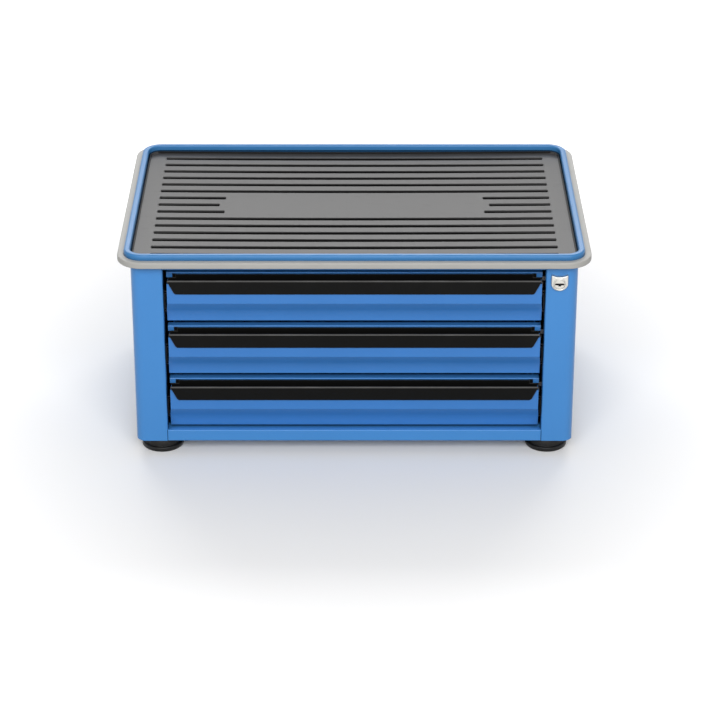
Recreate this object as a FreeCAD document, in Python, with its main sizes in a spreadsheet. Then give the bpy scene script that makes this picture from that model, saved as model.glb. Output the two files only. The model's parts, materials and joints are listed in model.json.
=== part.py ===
import FreeCAD, Part
import math
import os
import Sketcher

# A three-drawer tool chest: steel carcass, tray top with ribbed mat and soft edge band,
# three drawers on full-extension slides, and a key lock that drives a locking bar.
# Frame: millimetres, +Z up, the front faces -Y, origin on the floor under the middle of the chest.

doc = FreeCAD.newDocument("tool_chest")
sheet = doc.addObject("Spreadsheet::Sheet", "sizes")

SIZES = [
    # Carcass of bent steel sheet
    ("body_width", 684),
    ("body_depth", 430),
    ("body_height", 303),
    ("sheet_steel", 1.0),
    ("column_width", 49.5),
    ("column_return", 14),
    ("corner_radius", 15),
    ("bend_radius", 2.5),
    ("side_flange", 20),
    ("rail_height", 19),
    ("rail_depth", 25),
    ("top_rail_height", 7),
    ("seam_gap", 0.3),
    ("back_fold", 12),
    # Feet
    ("foot_height", 24),
    ("foot_radius", 33),
    ("foot_inset", 38.5),
    ("foot_lip", 8),
    ("foot_boss_radius", 9),
    ("foot_bolt_radius", 4),
    # Tray top, mat and edge band
    ("tray_overhang", 10),
    ("tray_corner", 30),
    ("rim_height", 22),
    ("rim_wall", 7.6),
    ("mat_gap", 4),
    ("mat_height", 8.2),
    ("groove_pitch", 27.3),
    ("groove_width", 10),
    ("groove_depth", 4.3),
    ("groove_length", 622),
    ("groove_edge", 2.5),
    ("plain_field", 400),
    ("band_thickness", 10),
    ("band_height", 10),
    ("band_above_body", 2.4),
    # Slides
    ("slide_length", 400),
    ("slide_thickness", 12.7),
    ("slide_height", 35),
    ("slide_web", 1.2),
    ("slide_steel", 1.0),
    ("ball_gap", 3.0),
    ("slide_axis_drop", 48.2),
    ("upright_width", 30),
    ("upright_steel", 1.5),
    # Drawers
    ("drawer_gap", 16),
    ("top_drawer_gap", 20.8),
    ("first_drawer_gap", 5.6),
    ("drawer_side_gap", 4.5),
    ("box_floor_height", 4),
    ("box_rear_gap", 22),
    ("box_lip", 8),
    ("hem_width", 2),
    ("hem_height", 5),
    # Drawer front
    ("front_steel", 1.2),
    ("face_recess", 4),
    ("face_straight", 9),
    ("nose_height", 31),
    ("front_lip", 14),
    ("strip_drop", 10),
    ("strip_end_inset", 1.4),
    ("taper_height", 13),
    ("front_depth", 19),
    ("flange_depth", 11),
    ("roll_radius", 1.6),
    ("tab_width", 8.7),
    ("tab_drop", 7),
    ("notch_width", 4.9),
    # Handle of extruded plastic
    ("grip_steel_cover", 2.6),
    ("grip_drop", 6.8),
    ("grip_height", 20.4),
    ("grip_wall", 2.2),
    ("trough_depth", 26.4),
    ("grip_end_cut", 12.5),
    ("grip_fit", 0.2),
    # Lock
    ("lock_from_side", 29),
    ("lock_from_top", 29),
    ("lock_body_radius", 11),
    ("plug_radius", 8),
    ("plug_fit", 0.06),
    ("shield_width", 25.4),
    ("shield_height", 26.6),
    ("shield_thickness", 5),
    ("cam_arm", 9),
    ("cam_pin_radius", 2),
    ("cam_thickness", 1.8),
    ("pin_fit", 0.4),
    ("bar_thickness", 2),
    ("bar_width", 12),
    ("bar_gap", 1.5),
    ("catch_height", 10),
    ("catch_drop", 28.2),
    ("hook_height", 7),
    ("hook_reach", 4.7),
    ("catch_gap", 1.8),
    ("rivet_radius", 2),
    ("screw_radius", 2.5),
    ("hole_fit", 0.1),
]

DRAWERS = 3
GROOVES = 15
PLAIN_ROWS = 3
SIDES = (("left", -1), ("right", 1))
LOCK_SWING = 90

for row, (alias, value) in enumerate(SIZES, start=1):
    sheet.set(f"A{row}", alias)
    sheet.set(f"B{row}", str(value))
    sheet.setAlias(f"B{row}", alias)
doc.recompute()


class Dim:
    """A length: its number now, and the sheet expression that drives it."""

    def __init__(self, value, text):
        self.value = value
        self.text = text

    @staticmethod
    def of(other):
        if isinstance(other, Dim):
            return other
        return Dim(float(other), f"({other})")

    def joined(self, other, sign, value):
        return Dim(value, f"({self.text} {sign} {other.text})")

    def __add__(self, other):
        other = Dim.of(other)
        return self.joined(other, "+", self.value + other.value)

    def __sub__(self, other):
        other = Dim.of(other)
        return self.joined(other, "-", self.value - other.value)

    def __mul__(self, other):
        other = Dim.of(other)
        return self.joined(other, "*", self.value * other.value)

    def __truediv__(self, other):
        other = Dim.of(other)
        return self.joined(other, "/", self.value / other.value)

    def __radd__(self, other):
        return Dim.of(other) + self

    def __rsub__(self, other):
        return Dim.of(other) - self

    def __rmul__(self, other):
        return Dim.of(other) * self

    def __neg__(self):
        return self * -1


def size(alias):
    """The sheet's size of that name."""
    return Dim(float(sheet.get(alias)), f"sizes.{alias}")


ZERO = Dim.of(0)
steel = size("sheet_steel")
body_half = size("body_width") / 2
depth_half = size("body_depth") / 2
front_y = -depth_half
body_low = size("foot_height")
body_high = body_low + size("body_height")
open_half = body_half - size("column_width")
return_y = front_y + size("column_return")
column_in = open_half + steel
tray_half_x = body_half + size("tray_overhang")
tray_half_y = depth_half + size("tray_overhang")
rim_high = body_high + size("rim_height")
slide_back = open_half + size("slide_web")
box_half = slide_back - size("slide_thickness")
front_half = open_half - size("drawer_side_gap")
bar_x = column_in + size("bar_gap")
bar_y = return_y + 1
lock_x = body_half - size("lock_from_side")
lock_z = body_high - size("lock_from_top")
drawer_base = body_low + size("rail_height") + size("first_drawer_gap")
drawer_room = body_high - size("top_drawer_gap") - drawer_base
drawer_high = (drawer_room - size("drawer_gap") * (DRAWERS - 1)) / DRAWERS
drawer_pitch = drawer_high + size("drawer_gap")
slide_axis = drawer_high - size("slide_axis_drop")
catch_low = drawer_high - size("catch_drop")
grip_high = drawer_high - size("grip_drop")
wall_y = front_y + size("front_depth")
box_front = wall_y + steel
box_rear = depth_half - size("box_rear_gap")
slide_front = wall_y + 0.5
slide_rear = slide_front + size("slide_length")
cam_travel = size("cam_arm") * 2 * math.sin(math.radians(LOCK_SWING / 2))
catch_y = box_front + 6.5
hook_rest_z = catch_low + 1.5 + cam_travel


def drawer_z(index):
    """Height of the lower edge of a drawer's front."""
    return drawer_base + drawer_pitch * index


# Sketches and features


def new_body(label):
    body = doc.addObject("PartDesign::Body", label)
    body.Label = label
    return body


def origin_feature(body, role):
    return next(item for item in body.Origin.OriginFeatures if item.Role == role)


def new_sketch(body, plane, at):
    """A sketch on one of the body's own origin planes, moved along that plane's axis."""
    sketch = body.newObject("Sketcher::SketchObject", "Sketch")
    sketch.AttachmentSupport = (origin_feature(body, f"{plane}_Plane"), "")
    sketch.MapMode = "FlatFace"
    offset = -at if plane == "XZ" else at
    sketch.setExpression("AttachmentOffset.Base.z", offset.text)
    return sketch


def tie(sketch, constraints):
    """Adds constraints given as (constraint, dimension or None) and binds each dimension."""
    first = sketch.ConstraintCount
    sketch.addConstraint([constraint for constraint, dim in constraints])
    for number, (constraint, dim) in enumerate(constraints, start=first):
        if dim is not None:
            sketch.setExpression(f"Constraints[{number}]", dim.text)


def at_point(geometry, vertex, x, y):
    """Constraints that hold a point at its distances from the sketch's origin."""
    return [
        (Sketcher.Constraint("DistanceX", -1, 1, geometry, vertex, x.value), x),
        (Sketcher.Constraint("DistanceY", -1, 1, geometry, vertex, y.value), y),
    ]


def arc_between(start, end, radius, turn):
    """A circular arc from start to end; turn is 1 for anticlockwise, -1 for clockwise."""
    a = FreeCAD.Vector(start[0].value, start[1].value, 0)
    b = FreeCAD.Vector(end[0].value, end[1].value, 0)
    chord = b - a
    reach = math.sqrt(max(radius.value**2 - (chord.Length / 2) ** 2, 0))
    normal = FreeCAD.Vector(-chord.y, chord.x, 0).normalize()
    centre = (a + b) / 2 + normal * (reach * turn)
    first, last = (a, b) if turn > 0 else (b, a)
    angles = [math.atan2(p.y - centre.y, p.x - centre.x) for p in (first, last)]
    circle = Part.Circle(centre, FreeCAD.Vector(0, 0, 1), radius.value)
    return Part.ArcOfCircle(circle, angles[0], angles[1])


def outline(sketch, points, arcs=None):
    """A closed outline through the points; arcs maps a point's number to (radius, turn)."""
    arcs = arcs or {}
    points = [(Dim.of(x), Dim.of(y)) for x, y in points]
    count = len(points)
    pieces = []
    for number, start in enumerate(points):
        end = points[(number + 1) % count]
        if number in arcs:
            pieces.append(arc_between(start, end, *arcs[number]))
        else:
            corners = [FreeCAD.Vector(x.value, y.value, 0) for x, y in (start, end)]
            pieces.append(Part.LineSegment(*corners))
    ids = list(sketch.addGeometry(pieces, False))
    starts = [2 if number in arcs and arcs[number][1] < 0 else 1 for number in range(count)]
    constraints = []
    for number in range(count):
        following = (number + 1) % count
        joint = (ids[number], 3 - starts[number], ids[following], starts[following])
        constraints.append((Sketcher.Constraint("Coincident", *joint), None))
        constraints += at_point(ids[number], starts[number], *points[number])
        if number in arcs:
            radius = arcs[number][0]
            constraints.append((Sketcher.Constraint("Radius", ids[number], radius.value), radius))
    tie(sketch, constraints)


def box_outline(sketch, low_x, high_x, low_y, high_y):
    outline(sketch, [(low_x, low_y), (high_x, low_y), (high_x, high_y), (low_x, high_y)])


def circle(sketch, x, y, radius):
    x, y, radius = Dim.of(x), Dim.of(y), Dim.of(radius)
    centre = FreeCAD.Vector(x.value, y.value, 0)
    ring = Part.Circle(centre, FreeCAD.Vector(0, 0, 1), radius.value)
    number = sketch.addGeometry(ring, False)
    held = at_point(number, 3, x, y)
    held.append((Sketcher.Constraint("Radius", number, radius.value), radius))
    tie(sketch, held)


def rounded_outline(sketch, low_x, high_x, low_y, high_y, radius):
    """A rectangle with round corners: four lines joined by four quarter arcs."""
    low_x, high_x, low_y, high_y = (Dim.of(edge) for edge in (low_x, high_x, low_y, high_y))
    inner = (low_x + radius, high_x - radius, low_y + radius, high_y - radius)
    points = [
        (inner[0], low_y),
        (inner[1], low_y),
        (high_x, inner[2]),
        (high_x, inner[3]),
        (inner[1], high_y),
        (inner[0], high_y),
        (low_x, inner[3]),
        (low_x, inner[2]),
    ]
    outline(sketch, points, {number: (radius, 1) for number in (1, 3, 5, 7)})


def span(body, kind, plane, low, high, draw):
    """Adds (Pad) or takes away (Pocket) what draw sketches, from low to high along the plane's axis."""
    low, high = Dim.of(low), Dim.of(high)
    from_high = (kind == "Pocket") != (plane == "XZ")
    sketch = new_sketch(body, plane, high if from_high else low)
    draw(sketch)
    before = body.Tip.Shape.Volume if kind == "Pocket" else 0
    feature = body.newObject(f"PartDesign::{kind}", kind)
    feature.Profile = sketch
    feature.setExpression("Length", (high - low).text)
    sketch.Visibility = False
    doc.recompute()
    if kind == "Pocket" and feature.Shape.Volume >= before:
        raise RuntimeError(f"{body.Label}: a pocket cuts nothing")
    return feature


def pad(body, plane, low, high, draw):
    return span(body, "Pad", plane, low, high, draw)


def pocket(body, plane, low, high, draw):
    return span(body, "Pocket", plane, low, high, draw)


def pad_box(body, x, y, z):
    """A straight block between the given (low, high) pairs."""
    return pad(body, "XY", z[0], z[1], lambda s: box_outline(s, x[0], x[1], y[0], y[1]))


def cut_box(body, x, y, z):
    return pocket(body, "XY", z[0], z[1], lambda s: box_outline(s, x[0], x[1], y[0], y[1]))


def repeated(body, features, axis, pitch, count):
    """A row of copies of the features along one of the body's axes."""
    pattern = body.newObject("PartDesign::LinearPattern", "LinearPattern")
    pattern.Originals = features
    pattern.Direction = (origin_feature(body, f"{axis}_Axis"), [""])
    pattern.setExpression("Length", (pitch * (count - 1)).text)
    pattern.Occurrences = count
    body.Tip = pattern
    doc.recompute()
    return pattern


def edges_where(shape, test):
    return [f"Edge{number}" for number, edge in enumerate(shape.Edges, start=1) if test(edge)]


def dress(body, kind, amount, test):
    """A Fillet or Chamfer of the edges that pass the test."""
    base = body.Tip
    names = edges_where(base.Shape, test)
    if not names:
        raise RuntimeError(f"{body.Label}: no edge to {kind.lower()}")
    feature = body.newObject(f"PartDesign::{kind}", kind)
    feature.Base = (base, names)
    feature.setExpression("Radius" if kind == "Fillet" else "Size", Dim.of(amount).text)
    doc.recompute()
    return feature


def near(a, b):
    return abs(a - b) < 0.01


def straight_along(axis, *places):
    """Test for straight edges along an axis (x, y or z) that pass through one of the places."""
    others = [letter for letter in "xyz" if letter != axis]
    wanted = [tuple(Dim.of(value).value for value in place) for place in places]

    def test(edge):
        ends = [vertex.Point for vertex in edge.Vertexes]
        if len(ends) != 2 or near(getattr(ends[0], axis), getattr(ends[1], axis)):
            return False
        for place in wanted:
            pairs = [(getattr(end, name), value) for end in ends for name, value in zip(others, place)]
            if all(near(*pair) for pair in pairs):
                return True
        return False

    return test


def level(z, inside=None, outside=None):
    """Test for edges that lie at one height, within or beyond half widths (x, y) of the middle."""
    z = Dim.of(z).value

    def test(edge):
        box = edge.BoundBox
        if not (near(box.ZMin, z) and near(box.ZMax, z)):
            return False
        middle = edge.valueAt((edge.FirstParameter + edge.LastParameter) / 2)
        if inside and (abs(middle.x) > inside[0].value or abs(middle.y) > inside[1].value):
            return False
        if outside and abs(middle.x) < outside[0].value and abs(middle.y) < outside[1].value:
            return False
        return True

    return test


def turned(body, plane, points, arcs=None):
    """A solid of revolution about the sketch's vertical axis."""
    sketch = new_sketch(body, plane, ZERO)
    outline(sketch, points, arcs)
    feature = body.newObject("PartDesign::Revolution", "Revolution")
    feature.Profile = sketch
    feature.ReferenceAxis = (sketch, ["V_Axis"])
    feature.Angle = 360
    sketch.Visibility = False
    doc.recompute()
    return feature


def place(body, x=ZERO, y=ZERO, z=ZERO):
    for axis, dim in (("x", x), ("y", y), ("z", z)):
        body.setExpression(f"Placement.Base.{axis}", Dim.of(dim).text)


def ordered(sign, inner, outer):
    """The low and high ends, in that order, of a stretch that is mirrored by the sign."""
    low, high = sorted((sign * Dim.of(inner), sign * Dim.of(outer)), key=lambda dim: dim.value)
    return low, high


# Carcass


def make_side_panel(side, sign):
    """Side wall, front column with its return, and rear flange, bent from one sheet."""
    body = new_body(f"side_panel_{side}")
    flange_in = body_half - size("side_flange")
    profile = [
        (open_half, return_y),
        (open_half, front_y),
        (body_half, front_y),
        (body_half, depth_half),
        (flange_in, depth_half),
        (flange_in, depth_half - steel),
        (body_half - steel, depth_half - steel),
        (body_half - steel, front_y + steel),
        (column_in, front_y + steel),
        (column_in, return_y),
    ]
    mirrored = [(sign * x, y) for x, y in profile]
    pad(body, "XY", body_low, body_high, lambda s: outline(s, mirrored))
    x = ordered(sign, flange_in, body_half - steel / 2)
    y = (front_y + steel / 2, depth_half - steel / 2)
    pad_box(body, x, y, (body_low, body_low + steel))
    pad_box(body, x, y, (body_high - steel, body_high))
    corner = size("corner_radius")
    bend = size("bend_radius")
    outer, inner = sign * body_half, sign * (body_half - steel)
    dress(body, "Fillet", corner, straight_along("z", (outer, front_y)))
    dress(body, "Fillet", corner - steel, straight_along("z", (inner, front_y + steel)))
    dress(body, "Fillet", bend, straight_along("z", (outer, depth_half), (sign * open_half, front_y)))
    places = ((inner, depth_half - steel), (sign * column_in, front_y + steel))
    dress(body, "Fillet", bend - steel, straight_along("z", *places))
    for screw_y in tray_screw_places():
        hole = size("screw_radius") + size("hole_fit")
        screw_x = sign * tray_screw_x()
        pocket(body, "XY", body_high - steel * 2, body_high + 1, lambda s: circle(s, screw_x, screw_y, hole))
    for rivet_z in back_rivet_heights():
        hole = size("rivet_radius") + size("hole_fit")
        rivet_x = sign * back_rivet_x()
        rear = (depth_half - steel * 2, depth_half + 1)
        pocket(body, "XZ", *rear, lambda s: circle(s, rivet_x, rivet_z, hole))
    if side == "right":
        hole = size("lock_body_radius") + size("hole_fit")
        front = (front_y - 1, front_y + steel * 2)
        pocket(body, "XZ", *front, lambda s: circle(s, lock_x, lock_z, hole))


def tray_screw_x():
    return body_half - size("side_flange") * 0.6


def upright_place():
    foot = size("foot_inset") + size("foot_bolt_radius") * 2 + 1
    return depth_half - foot - size("upright_width") / 2


def tray_screw_places():
    return [upright_place() * share for share in (-0.75, 0, 0.75)]


def back_rivet_x():
    return body_half - size("side_flange") * 0.55


def back_rivet_heights():
    margin = size("back_fold") * 2
    step = (size("body_height") - margin * 2) / 3
    return [body_low + margin + step * number for number in range(4)]


def make_back_panel():
    """Rear sheet inside the side panels' flanges, with folded edges and two pressed ribs."""
    body = new_body("back_panel")
    half = body_half - size("bend_radius") - steel
    rear = depth_half - steel
    inner = rear - steel
    low = body_low + steel * 2 + size("seam_gap")
    high = body_high - steel - size("seam_gap")
    fold = size("back_fold")
    pad_box(body, (-half, half), (inner, rear), (low, high))
    flange_half = half - size("side_flange")
    pad_box(body, (-flange_half, flange_half), (rear - fold, rear), (low, low + steel))
    pad_box(body, (-flange_half, flange_half), (rear - fold, rear), (high - steel, high))
    corners = [(y, z) for y in (rear,) for z in (low, high)]
    dress(body, "Fillet", size("bend_radius") * 0.6, straight_along("x", *corners))
    rib_half = flange_half - size("side_flange")
    rib_height = size("body_height") * 0.08
    for share in (1 / 3, 2 / 3):
        middle = low + (high - low) * share
        edges = (middle - rib_height / 2, middle + rib_height / 2)
        radius = rib_height / 2 - 0.01
        pressed = (inner - steel * 2, inner)
        pad(body, "XZ", *pressed, lambda s: rounded_outline(s, -rib_half, rib_half, *edges, radius))
        inner_half = rib_half - steel
        hollow = (edges[0] + steel, edges[1] - steel)
        depth = (inner - steel, rear)
        small = radius - steel
        pocket(body, "XZ", *depth, lambda s: rounded_outline(s, -inner_half, inner_half, *hollow, small))
    hole = size("rivet_radius") + size("hole_fit")
    for sign in (-1, 1):
        rivet_x = sign * back_rivet_x()
        for rivet_z in back_rivet_heights():
            sheet_depth = (inner - 1, rear + 1)
            pocket(body, "XZ", *sheet_depth, lambda s: circle(s, rivet_x, rivet_z, hole))


def foot_places():
    x = body_half - size("foot_inset")
    y = depth_half - size("foot_inset")
    return [
        ("front_left", -x, -y),
        ("front_right", x, -y),
        ("rear_left", -x, y),
        ("rear_right", x, y),
    ]


def make_floor_pan():
    """Bottom sheet with upturned edges, lying on the side panels' lower flanges."""
    body = new_body("floor_pan")
    half = body_half - steel - size("bend_radius")
    low = body_low + steel
    front = return_y + size("seam_gap")
    rear = depth_half - steel * 2 - size("seam_gap")
    edge = size("back_fold")
    pad_box(body, (-half, half), (front, rear), (low, low + steel))
    inside = half - size("side_flange") * 2
    pad_box(body, (-inside, inside), (front, front + steel), (low, low + edge))
    hole = size("foot_bolt_radius") + size("hole_fit")
    for name, x, y in foot_places():
        pocket(body, "XY", low - 1, low + steel + 1, lambda s: circle(s, x, y, hole))


def make_rail(label, low, high):
    """A channel between the two columns, open to the rear."""
    body = new_body(label)
    half = open_half - size("seam_gap")
    rear = front_y + size("rail_depth")
    profile = [
        (front_y, low),
        (rear, low),
        (rear, low + steel),
        (front_y + steel, low + steel),
        (front_y + steel, high - steel),
        (rear, high - steel),
        (rear, high),
        (front_y, high),
    ]
    pad(body, "YZ", -half, half, lambda s: outline(s, profile))
    bend = size("bend_radius") * 0.6
    dress(body, "Fillet", bend, straight_along("x", (front_y, low), (front_y, high)))


def make_upright(name, side, sign, middle_y):
    """Channel that carries the fixed slide members, between floor pan and top flange."""
    body = new_body(f"slide_upright_{name}_{side}")
    thick = size("upright_steel")
    outer = body_half - steel
    half = size("upright_width") / 2
    low_y, high_y = middle_y - half, middle_y + half
    profile = [
        (slide_back, low_y),
        (outer, low_y),
        (outer, low_y + thick),
        (slide_back + thick, low_y + thick),
        (slide_back + thick, high_y - thick),
        (outer, high_y - thick),
        (outer, high_y),
        (slide_back, high_y),
    ]
    mirrored = [(sign * x, y) for x, y in profile]
    low, high = body_low + steel * 2, body_high - steel
    pad(body, "XY", low, high, lambda s: outline(s, mirrored))
    bend = size("bend_radius")
    places = [(sign * slide_back, y) for y in (low_y, high_y)]
    dress(body, "Fillet", bend, straight_along("z", *places))
    slot_x = ordered(sign, slide_back - 1, slide_back + thick + 1)
    for index in range(DRAWERS):
        centre = slide_z(index)
        slot = (centre - size("slide_height") * 0.25, centre + size("slide_height") * 0.25)
        rim = size("screw_radius")
        edges = (middle_y - rim, middle_y + rim, *slot)
        pocket(body, "YZ", *slot_x, lambda s: rounded_outline(s, *edges, rim - 0.01))


def make_foot(name, x, y):
    """Round foot: a lipped disc below a tapered shoulder, bored for its bolt from below."""
    body = new_body(f"foot_{name}")
    radius, height, lip = size("foot_radius"), size("foot_height"), size("foot_lip")
    bolt = size("foot_bolt_radius") + size("hole_fit")
    boss = size("foot_boss_radius")
    profile = [
        (bolt, height / 2),
        (boss, height / 2),
        (boss, 0),
        (radius - 2.5, 0),
        (radius, 2.5),
        (radius, lip - 1.5),
        (radius - 1.5, lip),
        (radius - 3, lip),
        (radius - 4, lip + 1),
        (radius - 7.5, height - 4),
        (radius - 11, height),
        (boss, height),
        (boss, height + steel),
        (bolt, height + steel),
    ]
    turned(body, "XZ", profile, {9: (Dim.of(6), 1)})
    place(body, x, y)


# Tray top


def make_top_tray():
    """Pan with a hollow rolled rim that stands out past the carcass all round."""
    body = new_body("top_tray")
    corner, wall = size("tray_corner"), size("rim_wall")
    low = body_high
    edges = (-tray_half_x, tray_half_x, -tray_half_y, tray_half_y)
    pad(body, "XY", low, rim_high, lambda s: rounded_outline(s, *edges, corner))
    inner = (-tray_half_x + wall, tray_half_x - wall, -tray_half_y + wall, tray_half_y - wall)
    inner_corner = corner - wall
    pocket(body, "XY", low + steel, rim_high + 1, lambda s: rounded_outline(s, *inner, inner_corner))
    roll = wall / 2 - 0.1
    dress(body, "Fillet", roll, level(rim_high))
    outer_skin = [edge + steel if edge.value < 0 else edge - steel for edge in edges]
    inner_skin = [edge - steel if edge.value < 0 else edge + steel for edge in inner]

    def hollow(sketch):
        rounded_outline(sketch, *outer_skin, corner - steel)
        rounded_outline(sketch, *inner_skin, inner_corner + steel)

    pocket(body, "XY", low - 1, rim_high - steel - roll * 0.5, hollow)
    hole = size("screw_radius") + size("hole_fit")
    for sign in (-1, 1):
        screw_x = sign * tray_screw_x()
        for screw_y in tray_screw_places():
            pocket(body, "XY", low - 1, low + steel + 1, lambda s: circle(s, screw_x, screw_y, hole))


def mat_half(tray_half):
    return tray_half - size("rim_wall") - size("mat_gap")


def make_top_mat():
    """Moulded work mat with engraved grooves and a plain field at its middle."""
    body = new_body("top_mat")
    half_x, half_y = mat_half(tray_half_x), mat_half(tray_half_y)
    corner = size("tray_corner") - size("rim_wall") - size("mat_gap")
    low = body_high + steel
    high = low + size("mat_height")
    edges = (-half_x, half_x, -half_y, half_y)
    pad(body, "XY", low, high, lambda s: rounded_outline(s, *edges, corner))
    dress(body, "Fillet", size("mat_height") * 0.2, level(high))
    pitch, depth = size("groove_pitch"), size("groove_depth")
    half_groove, half_length = size("groove_width") / 2, size("groove_length") / 2
    field, edge = size("plain_field") / 2, size("groove_edge")
    first = -pitch * ((GROOVES - 1) / 2)
    full_rows = (GROOVES - PLAIN_ROWS) // 2

    def groove(row, low_x, high_x):
        middle = first + pitch * row
        limits = (low_x, high_x, middle - half_groove, middle + half_groove)
        return pocket(body, "XY", high - depth, high + 1, lambda s: rounded_outline(s, *limits, edge))

    for row, ends, count in (
        (0, [(-half_length, half_length)], full_rows),
        (full_rows, [(-half_length, -field), (field, half_length)], PLAIN_ROWS),
        (full_rows + PLAIN_ROWS, [(-half_length, half_length)], full_rows),
    ):
        cuts = [groove(row, *limits) for limits in ends]
        repeated(body, cuts, "Y", pitch, count)
    relief = size("screw_radius") * 2
    for sign in (-1, 1):
        screw_x = sign * tray_screw_x()
        for screw_y in tray_screw_places():
            pocket(body, "XY", low - 1, low + depth / 2, lambda s: circle(s, screw_x, screw_y, relief))


def make_edge_band():
    """Soft band round the tray's edge, rounded on its outer side."""
    body = new_body("edge_band")
    thick = size("band_thickness")
    low = body_high + size("band_above_body")
    high = low + size("band_height")
    corner = size("tray_corner")
    outer_x, outer_y = tray_half_x + thick, tray_half_y + thick

    def ring(sketch):
        rounded_outline(sketch, -outer_x, outer_x, -outer_y, outer_y, corner + thick)
        rounded_outline(sketch, -tray_half_x, tray_half_x, -tray_half_y, tray_half_y, corner)

    pad(body, "XY", low, high, ring)
    beyond = (tray_half_x + thick / 2, tray_half_y + thick / 2)
    rounding = size("band_height") * 0.42

    def outer_edge(z):
        return level(z, outside=beyond)

    def corner_or_side(edge):
        """Outer loop edges only: straight sides and the corner arcs of the larger radius."""
        box = edge.BoundBox
        if not (near(box.ZMin, box.ZMax)):
            return False
        if isinstance(edge.Curve, Part.Circle):
            return near(edge.Curve.Radius, (corner + thick).value)
        return outer_edge(Dim.of(box.ZMin))(edge)

    dress(body, "Fillet", rounding, corner_or_side)


# Slides


def channel(body, sign, web, open_end, height, wall, low_y, high_y):
    """A channel along Y, its web at web and its open side towards open_end."""
    half = height / 2
    thick = wall if open_end.value > web.value else -wall
    profile = [
        (web, -half),
        (open_end, -half),
        (open_end, wall - half),
        (web + thick, wall - half),
        (web + thick, half - wall),
        (open_end, half - wall),
        (open_end, half),
        (web, half),
    ]
    mirrored = [(sign * x, z) for x, z in profile]
    pad(body, "XZ", low_y, high_y, lambda s: outline(s, mirrored))
    places = [(sign * web, z) for z in (-half, half)]
    dress(body, "Fillet", wall * 0.9, straight_along("y", *places))


def slide_z(index):
    return drawer_z(index) + slide_axis


def make_slide(index, side, sign):
    """The three members of one telescopic slide, nested one in the other."""
    name = f"{index + 1}_{side}"
    web, wall, gap = size("slide_web"), size("slide_steel"), size("ball_gap")
    height = size("slide_height")
    outer = new_body(f"slide_outer_{name}")
    mouth = box_half + 2
    channel(outer, sign, slide_back, mouth, height, web, slide_front, slide_rear)
    place(outer, z=slide_z(index))
    middle_height = height - (web + gap) * 2
    middle = new_body(f"slide_middle_{name}")
    middle_web = open_half - 0.6
    channel(middle, sign, middle_web, mouth, middle_height, wall, slide_front, slide_rear)
    cut_middle(middle, sign, middle_web, wall)
    place(middle, z=slide_z(index))
    inner_height = middle_height - (wall + gap) * 2
    inner = new_body(f"slide_inner_{name}")
    inner_end = middle_web - wall - 1.4
    channel(inner, sign, box_half, inner_end, inner_height, wall, slide_front, slide_rear)
    place(inner, z=slide_z(index))


def cut_middle(body, sign, web_x, wall):
    """Lightening slots along the web of the middle member."""
    x = ordered(sign, web_x - wall - 1, web_x + 1)
    slot = size("slide_length") / 8
    first = slide_front + slot
    half = size("slide_height") / 12
    hole = pocket(
        body,
        "YZ",
        *x,
        lambda s: rounded_outline(s, first, first + slot, -half, half, half - 0.01),
    )
    repeated(body, [hole], "Y", slot * 2.5, 3)


# Drawers


def make_drawer_box(index):
    """Tray of folded sheet: floor, sides and rear, with lips that carry the front."""
    body = new_body(f"drawer_box_{index + 1}")
    low, high = size("box_floor_height"), drawer_high - steel
    lip = size("box_lip")
    pad_box(body, (-box_half, box_half), (box_front, box_rear), (low, high))
    bend = size("bend_radius")
    corners = [(sign * box_half, box_rear) for sign in (-1, 1)]
    dress(body, "Fillet", bend, straight_along("z", *corners))
    inside = box_half - steel
    cut_box(body, (-inside, inside), (box_front + steel, box_rear - steel), (low + steel, high + 1))
    mouth = inside - lip
    cut_box(body, (-mouth, mouth), (box_front - 1, box_front + steel + 1), (low + lip, high + 1))
    roll = size("roll_radius")
    hem, drop = size("hem_width"), size("hem_height")
    for sign in (-1, 1):
        x = ordered(sign, box_half - hem, box_half - steel / 2)
        pad_box(body, x, (box_front, box_rear - bend), (high - drop, high))
    rear_hem = (box_rear - hem, box_rear - steel / 2)
    pad_box(body, (bend - box_half, box_half - bend), rear_hem, (high - drop, high))
    top = [(sign * edge, high) for sign in (-1, 1) for edge in (box_half, box_half - hem)]
    dress(body, "Fillet", hem * 0.3, straight_along("y", *top))
    under_roll = drawer_high - roll * 2 - size("grip_fit")
    cut_box(body, (-box_half - 1, box_half + 1), (box_front - 1, box_front + steel), (under_roll, high + 1))
    place(body, z=drawer_z(index))


def face_radius():
    """Radius of the hollow between the upright foot of the face and its nose."""
    rise = size("nose_height") - size("face_straight")
    recess = size("face_recess")
    return (rise * rise + recess * recess) / (recess * 2)


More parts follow.
